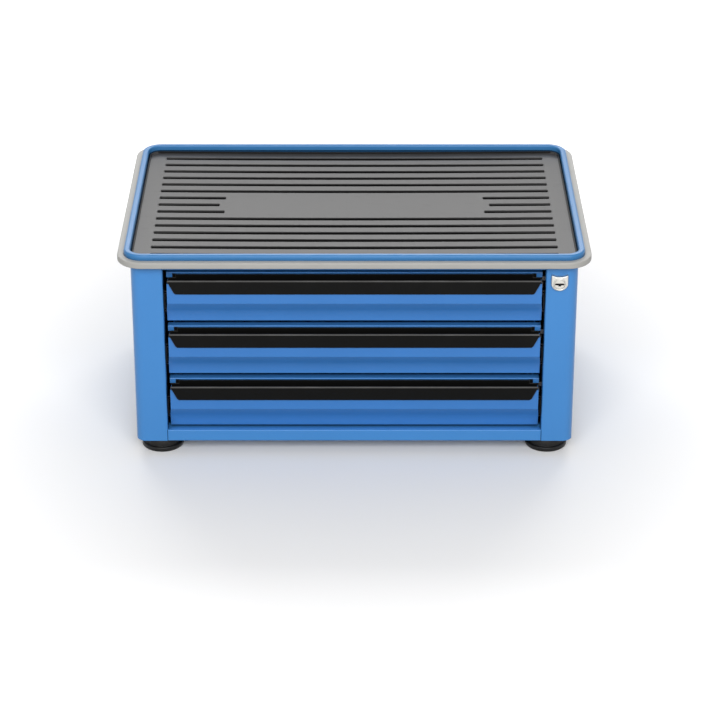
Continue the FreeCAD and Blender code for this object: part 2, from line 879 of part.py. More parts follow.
def make_drawer_skin(index):
    """Outer front sheet: lower lip, hollow face, nose and the strip behind the grip."""
    body = new_body(f"drawer_front_{index + 1}")
    thick = size("front_steel")
    foot_y = front_y + size("face_recess")
    start, nose, top = size("face_straight"), size("nose_height"), drawer_high - size("strip_drop")
    lip_y = front_y + size("front_lip")
    radius = face_radius()
    profile = [
        (lip_y, ZERO),
        (lip_y, thick),
        (foot_y + thick, thick),
        (foot_y + thick, start),
        (front_y + thick, nose),
        (front_y + thick, top),
        (front_y, top),
        (front_y, nose),
        (foot_y, start),
        (foot_y, ZERO),
    ]
    arcs = {3: (radius, 1), 7: (radius, -1)}
    pad(body, "YZ", -front_half, front_half, lambda s: outline(s, profile, arcs))
    cap_out = front_half - size("strip_end_inset")
    cap_in = cap_out - steel
    cap_top = top - size("grip_fit") * 2
    cap_rear = wall_y - steel * 2 - size("grip_fit")
    cap = [
        (foot_y + thick / 2, thick / 2),
        (cap_rear, thick / 2),
        (cap_rear, cap_top),
        (front_y + thick / 2, cap_top),
        (front_y + thick / 2, nose),
        (foot_y + thick / 2, start),
    ]
    for sign in (-1, 1):
        pad(body, "YZ", *ordered(sign, cap_in, cap_out), lambda s: outline(s, cap))
        taper = [
            (sign * (front_half + 1), nose - size("taper_height")),
            (sign * front_half, nose - size("taper_height")),
            (sign * cap_out, nose),
            (sign * cap_out, top + 1),
            (sign * (front_half + 1), top + 1),
        ]
        pocket(body, "XZ", front_y - 1, lip_y + 1, lambda s: outline(s, taper))
    dress(body, "Fillet", thick * 0.9, straight_along("x", (foot_y, ZERO)))
    dress(body, "Fillet", thick * 1.2, straight_along("x", (front_y, nose)))
    place(body, z=drawer_z(index))


def make_drawer_inner(index):
    """Inner front sheet: wall, rolled front edge, top flange and the two corner tabs."""
    body = new_body(f"drawer_front_inner_{index + 1}")
    high = drawer_high
    roll = size("roll_radius")
    low = size("front_steel")
    tab_in = front_half - size("tab_width")
    notch_in = tab_in - size("notch_width")
    rear = wall_y + steel + size("flange_depth")
    tab_y = wall_y - roll
    lowest = high - size("tab_drop")
    pad_box(body, (-box_half, box_half), (wall_y, wall_y + steel), (low, high - steel / 2))
    pad_box(body, (-front_half, front_half), (wall_y - roll / 2, rear), (high - steel, high))
    hem_drop = size("hem_height")
    pad_box(body, (-notch_in, notch_in), (rear - steel, rear), (high - hem_drop, high - steel / 2))
    centre = (wall_y, high - roll)
    pad(body, "YZ", -front_half, front_half, lambda s: circle(s, *centre, roll))
    for sign in (-1, 1):
        tab = ordered(sign, tab_in, front_half)
        pad_box(body, tab, (tab_y, tab_y + steel), (lowest, high - roll))
        notch = ordered(sign, notch_in, box_half + 1)
        cut_box(body, notch, (wall_y - 0.1, wall_y + steel + 1), (lowest - 1, high - roll * 2))
    dress(body, "Fillet", steel * 0.6, straight_along("x", (rear, high)))
    place(body, z=drawer_z(index))


def make_handle(index):
    """Full-width grip clipped over the strip, with a trough behind it for the fingers."""
    body = new_body(f"drawer_handle_{index + 1}")
    cover, wall = size("grip_steel_cover"), size("grip_wall")
    high = grip_high
    low = high - size("grip_height")
    strip_y = front_y + size("front_steel") + size("grip_fit")
    strip_top = drawer_high - size("strip_drop") + size("grip_fit")
    face_y = front_y - cover
    trough = high - size("trough_depth")
    rear_y = wall_y - size("grip_fit")
    rear_top = drawer_high - size("tab_drop") - size("grip_fit")
    profile = [
        (face_y, low),
        (front_y, low),
        (front_y, strip_top),
        (strip_y, strip_top),
        (strip_y, trough),
        (rear_y, trough),
        (rear_y, rear_top),
        (rear_y - wall, rear_top),
        (rear_y - wall, trough + wall),
        (strip_y + wall, trough + wall),
        (strip_y + wall, high),
        (face_y, high),
    ]
    pad(body, "YZ", -front_half, front_half, lambda s: outline(s, profile))
    dress(body, "Fillet", cover * 0.85, straight_along("x", (face_y, high)))
    dress(body, "Fillet", wall * 0.4, straight_along("x", (strip_y + wall, high), (face_y, low)))
    dress(body, "Fillet", wall, straight_along("x", (strip_y + wall, trough + wall)))
    dress(body, "Fillet", wall, straight_along("x", (rear_y - wall, trough + wall)))
    cut, trough_end = size("grip_end_cut"), front_half - size("strip_end_inset") - steel - 0.3
    for sign in (-1, 1):
        corner = [
            (sign * (front_half + 1), low - 1),
            (sign * (front_half - cut), low - 1),
            (sign * (front_half - cut), low),
            (sign * front_half, strip_top),
            (sign * (front_half + 1), strip_top),
        ]
        pocket(body, "XZ", face_y - 1, front_y + 0.1, lambda s: outline(s, corner))
        x = ordered(sign, trough_end, front_half + 1)
        cut_box(body, x, (front_y + 0.1, rear_y + 1), (trough - 1, strip_top))
        cut_box(body, x, (strip_y + wall + 0.1, rear_y + 1), (trough - 1, high + 1))
    place(body, z=drawer_z(index))


def make_catch(index):
    """Small angle on the right side of the box that the locking bar's hook stops."""
    body = new_body(f"drawer_catch_{index + 1}")
    thick = size("upright_steel")
    low = catch_low
    high = low + size("catch_height")
    out_x = open_half - 2.5
    pad_box(body, (box_half, box_half + thick), (catch_y, catch_y + size("bar_width")), (low, high))
    pad_box(body, (box_half, out_x), (catch_y, catch_y + thick), (low, high))
    dress(body, "Fillet", thick, straight_along("y", (out_x, low), (out_x, high)))
    dress(body, "Fillet", thick * 0.9, straight_along("z", (box_half, catch_y)))
    place(body, z=drawer_z(index))


# Lock


def make_lock_barrel():
    """Housing with a shield-shaped face in front of the column and a bored body behind it."""
    body = new_body("lock_barrel")
    half, thick = size("shield_width") / 2, size("shield_thickness")
    top, bottom = size("shield_height") * 0.53, size("shield_height") * 0.47
    dip = size("shield_height") * 0.11
    side = -bottom * 0.2
    drop = bottom * 0.8
    points = [(-half, top), (-half, side), (half, side), (half, top)]
    rounding = (half * half + drop * drop) / (drop * 2)
    hollow = (half * half + dip * dip) / (dip * 2)
    arcs = {1: (rounding, 1), 3: (hollow, -1)}
    pad(body, "XZ", front_y - thick, front_y, lambda s: outline(s, points, arcs))
    dress(body, "Fillet", thick * 0.4, straight_along("y", (-half, top), (half, top)))
    dress(body, "Fillet", thick * 0.8, straight_along("y", (-half, side), (half, side)))
    dress(body, "Fillet", thick * 0.28, edges_on_y(front_y - thick))
    radius = size("lock_body_radius")
    rear = cam_front() - 0.2
    pad(body, "XZ", front_y - steel, rear, lambda s: circle(s, ZERO, ZERO, radius))
    ring_front = front_y - thick - 1
    ring = size("plug_radius") + 1.6
    pad(body, "XZ", ring_front, front_y, lambda s: circle(s, ZERO, ZERO, ring))
    bore = size("plug_radius") + size("plug_fit")
    pocket(body, "XZ", ring_front - 1, rear + 1, lambda s: circle(s, ZERO, ZERO, bore))
    place(body, lock_x, z=lock_z)


def edges_on_y(y):
    y = Dim.of(y).value

    def test(edge):
        box = edge.BoundBox
        return near(box.YMin, y) and near(box.YMax, y)

    return test


def cam_front():
    """Front face of the cam plate, just ahead of the bar's fork."""
    return bar_y + size("bar_width") - size("bar_thickness") - size("cam_thickness") - 0.6


def make_lock_nut():
    """Flat nut that clamps the barrel from behind the column."""
    body = new_body("lock_nut")
    low = front_y + steel
    flats = size("lock_body_radius") * 1.2
    corner = flats / math.cos(math.pi / 6)
    angles = [math.pi / 3 * (step + 0.5) for step in range(6)]
    points = [(corner * math.cos(angle), corner * math.sin(angle)) for angle in angles]
    pad(body, "XZ", low, low + 4, lambda s: outline(s, points))
    bore = size("lock_body_radius") + size("hole_fit")
    pocket(body, "XZ", low - 1, low + 5, lambda s: circle(s, ZERO, ZERO, bore))
    place(body, lock_x, z=lock_z)


def make_lock_plug():
    """Turning plug with its key slot across the face."""
    body = new_body("lock_plug")
    front = front_y - size("shield_thickness") - 0.4
    radius = size("plug_radius")
    pad(body, "XZ", front, cam_front(), lambda s: circle(s, ZERO, ZERO, radius))
    dress(body, "Fillet", 0.6, edges_on_y(front))
    dish = (-radius * 0.82, radius * 0.82, -radius * 0.15, radius * 0.15)
    pocket(body, "XZ", front - 1, front + 1.2, lambda s: box_outline(s, *dish))
    slot = (-radius * 0.6, radius * 0.6, -radius * 0.11, radius * 0.11)
    pocket(body, "XZ", front - 1, front + 12, lambda s: box_outline(s, *slot))
    notch = (-radius * 0.2, radius * 0.2, -radius * 0.34, ZERO)
    pocket(body, "XZ", front - 1, front + 5, lambda s: box_outline(s, *notch))
    place(body, lock_x, z=lock_z)


def rest_pin():
    """Place of the cam's pin from the plug's axis at rest, up and to the left."""
    reach = size("cam_arm") * math.sin(math.radians(LOCK_SWING / 2))
    return -reach, reach


def make_lock_cam():
    """Plate on the plug's rear end whose pin moves the locking bar."""
    body = new_body("lock_cam")
    thick, pin = size("cam_thickness"), size("cam_pin_radius")
    front = cam_front()
    rear = front + thick
    pin_x, pin_z = rest_pin()
    hub = size("plug_radius") * 0.85
    pad(body, "XZ", front, rear, lambda s: circle(s, ZERO, ZERO, hub))
    pad(body, "XZ", front, rear, lambda s: circle(s, pin_x, pin_z, pin * 1.7))
    pin_end = bar_y + size("bar_width") + 1
    pad(body, "XZ", front, pin_end, lambda s: circle(s, pin_x, pin_z, pin))
    bore = size("rivet_radius") + size("hole_fit")
    pocket(body, "XZ", front - 1, rear + 1, lambda s: circle(s, ZERO, ZERO, bore))
    place(body, lock_x, z=lock_z)


def fork_limits():
    """The fork on top of the bar: its tip, and the half height of its slot."""
    tip = lock_x - size("rivet_radius") * 2
    half_slot = size("cam_pin_radius") + size("pin_fit")
    return tip, half_slot


def make_lock_bar():
    """Vertical locking bar with a hook for each drawer and a fork for the cam's pin."""
    body = new_body("lock_bar")
    thick, width = size("bar_thickness"), size("bar_width")
    pin_x, pin_z = rest_pin()
    fork_z = lock_z + pin_z
    tip, half_slot = fork_limits()
    prong = 4
    low = drawer_z(0) + hook_rest_z - size("bar_width")
    high = fork_z + half_slot + prong
    pad_box(body, (bar_x, bar_x + thick), (bar_y, bar_y + width), (low, high))
    fork_low, fork_high = fork_z - half_slot - prong, fork_z + half_slot + prong
    fork_y = (bar_y + width - thick, bar_y + width)
    pad_box(body, (bar_x + thick / 2, tip), fork_y, (fork_low, fork_high))
    slot_start = lock_x - size("cam_arm") - size("cam_pin_radius") - size("pin_fit")
    slot_y = (fork_y[0] - 1, fork_y[1] + 1)
    cut_box(body, (slot_start, tip + 1), slot_y, (fork_z - half_slot, fork_z + half_slot))
    hook_y = (catch_y - size("catch_gap") - thick * 1.6, catch_y - size("catch_gap"))
    hook_x = (open_half - size("hook_reach"), bar_x + thick / 2)
    hook = pad_box(body, hook_x, hook_y, hook_span(0))
    repeated(body, [hook], "Z", drawer_pitch, DRAWERS)


def hook_span(index):
    low = drawer_z(index) + hook_rest_z
    return low, low + size("hook_height")


def make_bar_guides():
    """Two channels on the column's return that hold the bar upright."""
    body = new_body("lock_bar_guides")
    base = column_in
    room = size("pin_fit")
    steel_in = bar_x - room
    outer = bar_x + size("bar_thickness") + room
    near_y, far_y = bar_y - room, bar_y + size("bar_width") + room
    profile = [
        (base, front_y + size("column_return") / 3),
        (steel_in, front_y + size("column_return") / 3),
        (steel_in, far_y),
        (outer, far_y),
        (outer, near_y),
        (outer + steel, near_y),
        (outer + steel, far_y + steel),
        (base, far_y + steel),
    ]
    tall = size("catch_height")
    for index in range(DRAWERS - 1):
        foot = hook_span(index)[1] + tall * 0.9
        pad(body, "XY", foot, foot + tall, lambda s: outline(s, profile))


# Fasteners, each kind as one group of separate solids


def fastener(head_radius, head_height, shank_radius, length, dome):
    """A fastener along +Z: its head below the origin plane, its shank above it."""
    up = FreeCAD.Vector(0, 0, 1)
    head = Part.makeCylinder(head_radius, head_height, FreeCAD.Vector(0, 0, -head_height), up)
    under = [edge for edge in head.Edges if near(edge.BoundBox.ZMax, -head_height)]
    head = head.makeFillet(min(dome, head_height * 0.9), under)
    shank = Part.makeCylinder(shank_radius, length + 0.5, FreeCAD.Vector(0, 0, -0.5), up)
    return head.fuse(shank).removeSplitter()


def hexagon(across, depth):
    """A hexagonal prism up from the origin plane."""
    radius = across / 2 / math.cos(math.pi / 6)
    corners = [math.pi / 3 * step for step in range(7)]
    points = [FreeCAD.Vector(radius * math.cos(a), radius * math.sin(a), 0) for a in corners]
    return Part.Face(Part.makePolygon(points)).extrude(FreeCAD.Vector(0, 0, depth))


def group(label, solids):
    feature = doc.addObject("Part::Feature", label)
    feature.Label = label
    feature.Shape = Part.makeCompound(solids)
    feature.Placement = FreeCAD.Placement()


def moved(solid, position, rotation=None):
    copy = solid.copy()
    copy.Placement = FreeCAD.Placement(position, rotation or FreeCAD.Rotation())
    return copy


def make_foot_bolts():
    """Socket-head bolts up through the feet, with their nuts inside the floor pan."""
    radius, height = size("foot_bolt_radius").value, size("foot_height").value
    room = size("hole_fit").value
    head_height = radius * 1.1
    grip = height / 2 + steel.value * 2
    nut_height = radius * 1.6
    bolt = fastener(radius * 1.9, head_height, radius, grip + nut_height + 2, radius * 0.4)
    socket = hexagon(radius * 1.5, radius * 0.8)
    socket.translate(FreeCAD.Vector(0, 0, -head_height - 0.01))
    bolt = bolt.cut(socket)
    nut = hexagon(radius * 3.2, nut_height)
    bore = Part.makeCylinder(radius + room, nut_height + 2, FreeCAD.Vector(0, 0, -1))
    nut = nut.cut(bore)
    solids = []
    for name, x, y in foot_places():
        solids.append(moved(bolt, FreeCAD.Vector(x.value, y.value, height / 2)))
        nut_z = body_low.value + steel.value * 2
        solids.append(moved(nut, FreeCAD.Vector(x.value, y.value, nut_z)))
    group("foot_bolts", solids)


def make_tray_screws():
    """Screws up through the side panels' flanges into the tray."""
    radius = size("screw_radius").value
    screw = fastener(radius * 1.8, radius * 0.9, radius, steel.value * 2 + 1.2, radius * 0.7)
    flange_z = body_high.value - steel.value
    solids = []
    for sign in (-1, 1):
        for y in tray_screw_places():
            x = sign * tray_screw_x().value
            solids.append(moved(screw, FreeCAD.Vector(x, y.value, flange_z)))
    group("tray_screws", solids)


def make_back_rivets():
    """Domed rivets through the side panels' rear flanges and the back panel."""
    radius = size("rivet_radius").value
    rivet = fastener(radius * 1.9, radius * 0.7, radius, steel.value * 2, radius * 0.6)
    tail = Part.makeCylinder(radius * 1.4, radius * 0.6, FreeCAD.Vector(0, 0, steel.value * 2))
    rivet = rivet.fuse(tail).removeSplitter()
    facing = FreeCAD.Rotation(FreeCAD.Vector(1, 0, 0), 90)
    solids = []
    for sign in (-1, 1):
        for z in back_rivet_heights():
            x = sign * back_rivet_x().value
            solids.append(moved(rivet, FreeCAD.Vector(x, depth_half.value, z.value), facing))
    group("back_rivets", solids)


def make_cam_screw():
    """Screw that holds the cam on the plug."""
    radius = size("rivet_radius").value
    screw = fastener(radius * 1.6, radius * 0.8, radius, size("cam_thickness").value, radius * 0.3)
    facing = FreeCAD.Rotation(FreeCAD.Vector(1, 0, 0), 90)
    rear = (cam_front() + size("cam_thickness")).value
    place_at = FreeCAD.Vector(lock_x.value, rear, lock_z.value)
    group("cam_screw", [moved(screw, place_at, facing)])


# The whole chest

for side, sign in SIDES:
    make_side_panel(side, sign)
make_back_panel()
make_floor_pan()
make_rail("bottom_rail", body_low, body_low + size("rail_height"))
make_rail("top_rail", body_high - size("top_rail_height"), body_high)
upright_y = upright_place()
for side, sign in SIDES:
    make_upright("front", side, sign, -upright_y)
    make_upright("rear", side, sign, upright_y)
for foot_name, foot_x, foot_y in foot_places():
    make_foot(foot_name, foot_x, foot_y)
make_top_tray()
make_top_mat()
make_edge_band()
for drawer in range(DRAWERS):
    make_drawer_box(drawer)
    make_drawer_skin(drawer)
    make_drawer_inner(drawer)
    make_handle(drawer)
    make_catch(drawer)
    for side, sign in SIDES:
        make_slide(drawer, side, sign)
make_lock_barrel()
make_lock_nut()
make_lock_plug()
make_lock_cam()
make_lock_bar()
make_bar_guides()
make_foot_bolts()
make_tray_screws()
make_back_rivets()
make_cam_screw()

doc.recompute()
for item in doc.Objects:
    if "Invalid" in item.State or "Error" in item.State:
        raise RuntimeError(f"{item.Label} failed: {item.State}")
os.makedirs("parts", exist_ok=True)
for item in doc.Objects:
    if item.TypeId not in ("PartDesign::Body", "Part::Feature"):
        continue
    shape = item.Shape
    if shape.isNull() or not shape.isValid() or not shape.Solids:
        raise RuntimeError(f"{item.Label} has no valid solid")
    shape.exportStep(f"parts/{item.Label}.step")
    box = shape.BoundBox
    print(f"{item.Label}: {len(shape.Solids)} solid(s), {shape.Volume:.0f} mm3, "
          f"x {box.XMin:.2f} {box.XMax:.2f}, y {box.YMin:.2f} {box.YMax:.2f}, "
          f"z {box.ZMin:.2f} {box.ZMax:.2f}")
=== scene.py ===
"""Looks of the tool chest: its modelled shells, soft parts, finishes and a plain studio.

Shapes are worked out in millimetres in the chest's own frame and stored in metres.
"""

import json
import logging
import math
from dataclasses import dataclass
from enum import Enum
from typing import Callable, Sequence

import bmesh
import bpy
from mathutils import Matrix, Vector
from mathutils.geometry import tessellate_polygon


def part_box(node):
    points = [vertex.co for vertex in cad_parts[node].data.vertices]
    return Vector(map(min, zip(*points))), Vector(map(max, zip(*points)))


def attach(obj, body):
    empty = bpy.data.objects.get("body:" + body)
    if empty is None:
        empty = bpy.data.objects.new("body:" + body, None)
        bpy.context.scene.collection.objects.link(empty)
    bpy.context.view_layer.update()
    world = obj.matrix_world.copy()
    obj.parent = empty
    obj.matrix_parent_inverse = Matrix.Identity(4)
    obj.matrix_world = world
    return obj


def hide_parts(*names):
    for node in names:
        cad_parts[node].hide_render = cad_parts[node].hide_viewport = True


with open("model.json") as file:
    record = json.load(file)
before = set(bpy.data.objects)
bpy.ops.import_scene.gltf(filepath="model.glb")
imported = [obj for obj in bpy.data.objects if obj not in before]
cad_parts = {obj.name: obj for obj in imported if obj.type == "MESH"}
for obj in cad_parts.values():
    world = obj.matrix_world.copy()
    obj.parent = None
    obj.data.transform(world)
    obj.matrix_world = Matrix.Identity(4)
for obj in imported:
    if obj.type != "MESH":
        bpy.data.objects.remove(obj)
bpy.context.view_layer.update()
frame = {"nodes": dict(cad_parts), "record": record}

MM = 0.001
DRAWERS = (1, 2, 3)
ACROSS_X, ACROSS_Y, ACROSS_Z = (1, 2), (0, 2), (0, 1)
log = logging.getLogger("tool_chest")

Point = tuple[float, float, float]
Flat = tuple[float, float]
Row = list[bmesh.types.BMVert]
Socket = "Wire | float | tuple[float, ...]"

WHITE: Point = (1.0, 1.0, 1.0)
EVEN: Point = (1.0, 1.0, 1.0)


class Side(Enum):
    """The two sides of the chest, seen from the front."""

    LEFT = -1
    RIGHT = 1


class Slot(Enum):
    """The record's material slots."""

    CARCASS = "carcass_paint"
    TRAY = "tray_paint"
    DRAWER = "drawer_paint"
    FRONT = "front_paint"
    ZINC = "zinc_steel"
    SLIDE = "slide_steel"
    BOLT = "bolt_steel"
    PLUG = "plug_steel"
    LOCK = "lock_chrome"
    FOOT = "foot_rubber"
    MAT = "mat_rubber"
    BAND = "band_rubber"
    GRIP = "grip_plastic"


# Shader maths


def shade(colour: Point, factor: float) -> Point:
    """A colour made lighter or darker by a factor."""
    return tuple(min(channel * factor, 1.0) for channel in colour)


class Wire:
    """One output socket of a material; arithmetic on it adds the nodes that work it out."""

    def __init__(self, graph: "Graph", socket: bpy.types.NodeSocket) -> None:
        """Wraps a socket.

        Args:
            graph: The material's graph that the socket belongs to.
            socket: The output socket.
        """
        self.graph = graph
        self.socket = socket

    def _work(self, operation: str, left: Socket, right: Socket) -> "Wire":
        """Adds the node for one operation, a vector one where an operand is no number.

        Args:
            operation: The name that Math and Vector Math share.
            left: First operand.
            right: Second operand.

        Returns:
            The result's wire.
        """
        pair = (left, right)
        kind = "ShaderNodeMath"
        kinds = [x.socket.type if isinstance(x, Wire) else type(x) for x in pair]
        if any(one not in ("VALUE", int, float) for one in kinds):
            kind = "ShaderNodeVectorMath"
            pair = tuple((x, x, x) if isinstance(x, (int, float)) else x for x in pair)
        return self.graph.node(kind, {"operation": operation}, dict(enumerate(pair)))

    def __add__(self, other: Socket) -> "Wire":
        """Sum."""
        return self._work("ADD", self, other)

    def __radd__(self, other: Socket) -> "Wire":
        """Sum, reflected."""
        return self._work("ADD", other, self)

    def __sub__(self, other: Socket) -> "Wire":
        """Difference."""
        return self._work("SUBTRACT", self, other)

    def __rsub__(self, other: Socket) -> "Wire":
        """Difference, reflected."""
        return self._work("SUBTRACT", other, self)

    def __mul__(self, other: Socket) -> "Wire":
        """Product."""
        return self._work("MULTIPLY", self, other)

    def between(self, low: float, high: float) -> "Wire":
        """How far a number has gone from low to high, from 0 to 1, with soft ends.

        Args:
            low: The value that gives 0.
            high: The value that gives 1.

        Returns:
            The share's wire.
        """
        settings = {"interpolation_type": "SMOOTHSTEP"}
        return self.graph.node("ShaderNodeMapRange", settings, {0: self, 1: low, 2: high})

    def mix(self, none: Socket, full: Socket) -> "Wire":
        """A colour between two, by this number.

        Args:
            none: Colour at 0.
            full: Colour at 1.

        Returns:
            The mixed colour's wire.
        """
        settings = {"data_type": "RGBA", "blend_type": "MIX"}
        return self.graph.node("ShaderNodeMix", settings, {0: self, 6: none, 7: full}, 2)

    def vary(self, colour: Point, amount: float) -> "Wire":
        """A colour made darker and lighter by this number, at most by an amount."""
        return self.mix(shade(colour, 1 - amount), shade(colour, 1 + amount))


class Graph:
    """The node tree of one material or of the world."""

    def __init__(self, owner: bpy.types.Material | bpy.types.World) -> None:
        """Opens and empties the tree.

        Args:
            owner: The material or world that is to have nodes.
        """
        owner.use_nodes = True
        self.tree = owner.node_tree
        self.tree.nodes.clear()

    def node(
        self,
        kind: str,
        settings: dict[str, object] | None = None,
        inputs: dict[int | str, Socket] | None = None,
        output: int | str = 0,
    ) -> Wire:
        """Adds one node.

        Args:
            kind: The node's type.
            settings: Its own properties, set first.
            inputs: Values or wires by the name or number of the socket.
            output: The output wanted.

        Returns:
            The wire of that output.
        """
        node = self.tree.nodes.new(kind)
        for name, value in (settings or {}).items():
            setattr(node, name, value)
        for name, value in (inputs or {}).items():
            socket = node.inputs[name]
            if isinstance(value, Wire):
                self.tree.links.new(value.socket, socket)
            else:
                socket.default_value = (*value, 1.0) if socket.type == "RGBA" else value
        return Wire(self, node.outputs[output] if node.outputs else None)

    def place(self, stretch: Point = EVEN) -> Wire:
        """Position on the piece in metres, with each axis scaled.

        Args:
            stretch: Factor on each axis; a small one draws marks out along it.

        Returns:
            The position's wire.
        """
        spot = self.node("ShaderNodeTexCoord", output="Object")
        return spot if stretch == EVEN else spot * stretch

    def along(self, axis: str) -> Wire:
        """Position on the piece along one axis, in metres."""
        return self.node("ShaderNodeSeparateXYZ", None, {"Vector": self.place()}, axis)

    def noise(self, size: float, detail: float, stretch: Point = EVEN) -> Wire:
        """Soft random variation.

        Args:
            size: Length of one patch in millimetres.
            detail: Octaves.
            stretch: Factor on each axis.

        Returns:
            A number about 0.5.
        """
        inputs = {"Vector": self.place(stretch), "Scale": 1 / (size * MM), "Detail": detail}
        return self.node("ShaderNodeTexNoise", None, inputs)

    def cells(self, size: float) -> Wire:
        """Distance to the nearest of points scattered about a size in millimetres apart."""
        inputs = {"Vector": self.place(), "Scale": 1 / (size * MM)}
        return self.node("ShaderNodeTexVoronoi", {"feature": "SMOOTH_F1"}, inputs, "Distance")

    def soft_edges(self, radius: float) -> Wire:
        """The normal, rounded over within a radius in millimetres of every edge."""
        return self.node("ShaderNodeBevel", {"samples": 6}, {"Radius": radius * MM})

    def edge_closeness(self, radius: float, full: float = 0.30) -> Wire:
        """How near a convex or concave edge a point lies.

        Args:
            radius: Reach of the mask in millimetres.
            full: Bend of the normal that gives 1.

        Returns:
            The mask's wire.
        """
        pair = {0: self.soft_edges(radius), 1: self.node("ShaderNodeNewGeometry", output="Normal")}
        dot = self.node("ShaderNodeVectorMath", {"operation": "DOT_PRODUCT"}, pair, "Value")
        return (1.0 - dot).between(0.02, full)

    def bump(self, height: Wire, depth: float, radius: float) -> Wire:
        """A normal tilted by a height map, and rounded over at edges.

        Args:
            height: Height from 0 to 1.
            depth: Height of 1 in millimetres.
            radius: Radius of the edges in millimetres.

        Returns:
            The normal's wire.
        """
        inputs = {"Distance": depth * MM, "Height": height, "Normal": self.soft_edges(radius)}
        return self.node("ShaderNodeBump", None, {"Strength": 1.0, **inputs})


# Finishes


@dataclass(frozen=True)
class Finish:
    """A named finish with one principled shader; each kind works out its own sockets."""

    name: str

    def sockets(self, graph: Graph) -> dict[str, Socket]:
        """The shader's sockets.

        Args:
            graph: The material's graph.

        Returns:
            Values and wires by socket name.
        """
        raise NotImplementedError

    def material(self) -> bpy.types.Material:
        """Makes the material.

        Returns:
            The material.
        """
        material = bpy.data.materials.new(self.name)
        graph = Graph(material)
        shader = graph.node("ShaderNodeBsdfPrincipled", None, self.sockets(graph))
        graph.node("ShaderNodeOutputMaterial", None, {"Surface": shader})
        return material


@dataclass(frozen=True)
class Enamel(Finish):
    """Baked powder enamel: slight orange peel, uneven gloss, edges paler (partly worn paint, partly
    a painted highlight), and painted shade that darkens seams, gaps and crevices.
    """

    colour: Point = (0.055, 0.245, 0.600)
    roughness: float = 0.30
    peel: float = 0.012
    edge: float = 0.5
    gloss: float = 0.40
    shade_reach: float = 0.018
    grime_and_shade: float = 0.30
    worn_and_highlight: Point = (0.13, 0.36, 0.78)

    def sockets(self, graph: Graph) -> dict[str, Socket]:
        """The enamel's sockets, as Finish says."""
        cloud = graph.noise(85.0, 3.0)
        edge_mask = graph.edge_closeness(self.edge * 1.6)
        dusty = graph.noise(7.0, 4.0).between(0.55, 0.80)
        # Painted shade: where ambient occlusion finds nearby surfaces, in seams, gaps and under
        # overhangs, the colour darkens
        reach = {"Distance": self.shade_reach}
        open_air = graph.node("ShaderNodeAmbientOcclusion", {"samples": 6}, reach, "AO")
        dark, base_tone = shade(self.colour, self.grime_and_shade), cloud.vary(self.colour, 0.05)
        body = open_air.between(0.25, 0.75).mix(dark, base_tone)
        peel = graph.noise(1.9, 2.0) * 0.8 + graph.noise(0.7, 1.0) * 0.2
        return {
            # Paler edges: partly thin, worn paint, partly a painted highlight along folds and
            # rolled edges
            "Base Color": (edge_mask * 0.35).mix(body, self.worn_and_highlight),
            "Roughness": self.roughness - 0.05 + graph.noise(30.0, 3.0) * 0.10 + dusty * 0.05,
            "Specular IOR Level": self.gloss,
            "Normal": graph.bump(peel, self.peel, self.edge),
        }


@dataclass(frozen=True)
class MatRubber(Finish):
    """Dense black rubber with a fine leather grain and scuffs; its flat upper face is grey, partly
    rubbed and partly a painted sheen, while the grooves and raised edge stay black.

    The grey face lies above two heights and inside half a width and half a depth, in metres.
    """

    colour: Point = (0.0060, 0.0060, 0.0062)
    rub_and_sheen: Point = (0.062, 0.061, 0.061)
    face: Flat = (0.3325, 0.3342)
    border: Flat = (0.3375, 0.2105)
    blend: float = 0.001

    def sockets(self, graph: Graph) -> dict[str, Socket]:
        """The mat's sockets, as Finish says."""
        cloud = graph.noise(60.0, 4.0)
        scuff = graph.noise(9.0, 5.0, (0.35, 1.0, 1.0)).between(0.56, 0.78)
        # Grey on the flat upper face only: partly rubbed rubber, partly a painted sheen; grooves
        # and raised edge keep the black
        sheen_and_rub_share = graph.along("Z").between(*self.face)
        for axis, reach in zip("XY", self.border):
            across = graph.along(axis)
            outside = (across * across).between(reach**2, (reach + self.blend) ** 2)
            sheen_and_rub_share = sheen_and_rub_share * (1.0 - outside)
        return {
            "Base Color": sheen_and_rub_share.mix(self.colour, cloud.vary(self.rub_and_sheen, 0.08)),
            "Roughness": 0.30 + cloud * 0.06 + scuff * 0.06,
            "Specular IOR Level": 0.18,
            "Normal": graph.bump(graph.cells(0.9), 0.02, 0.3),
        }


@dataclass(frozen=True)
class BandRubber(Finish):
    """Pale grey elastomer band: matte skin, fine pores, slight grubby streaks."""

    colour: Point = (0.395, 0.390, 0.370)

    def sockets(self, graph: Graph) -> dict[str, Socket]:
        """The band's sockets, as Finish says."""
        cloud = graph.noise(45.0, 4.0)
        grime_and_shade = graph.noise(5.0, 5.0, (0.3, 0.3, 1.0)).between(0.50, 0.85)
        base_tone = cloud.vary(self.colour, 0.06)
        return {
            "Base Color": (grime_and_shade * 0.25).mix(base_tone, shade(self.colour, 0.72)),
            "Roughness": 0.52 + cloud * 0.12,
            "Normal": graph.bump(graph.noise(0.8, 3.0), 0.02, 0.4),
        }


@dataclass(frozen=True)
class FootRubber(Finish):
    """Black rubber of the feet, with a dusty bloom and fine grain."""

    colour: Point = (0.009, 0.009, 0.009)
    dust: Point = (0.024, 0.023, 0.021)

    def sockets(self, graph: Graph) -> dict[str, Socket]:
        """The feet's sockets, as Finish says."""
        bloom = graph.noise(6.0, 5.0).between(0.45, 0.80)
        return {
            "Base Color": (bloom * 0.5).mix(self.colour, self.dust),
            "Roughness": 0.38 + bloom * 0.20,
            "Specular IOR Level": 0.28,
            "Normal": graph.bump(graph.noise(0.9, 3.0), 0.03, 0.4),
        }


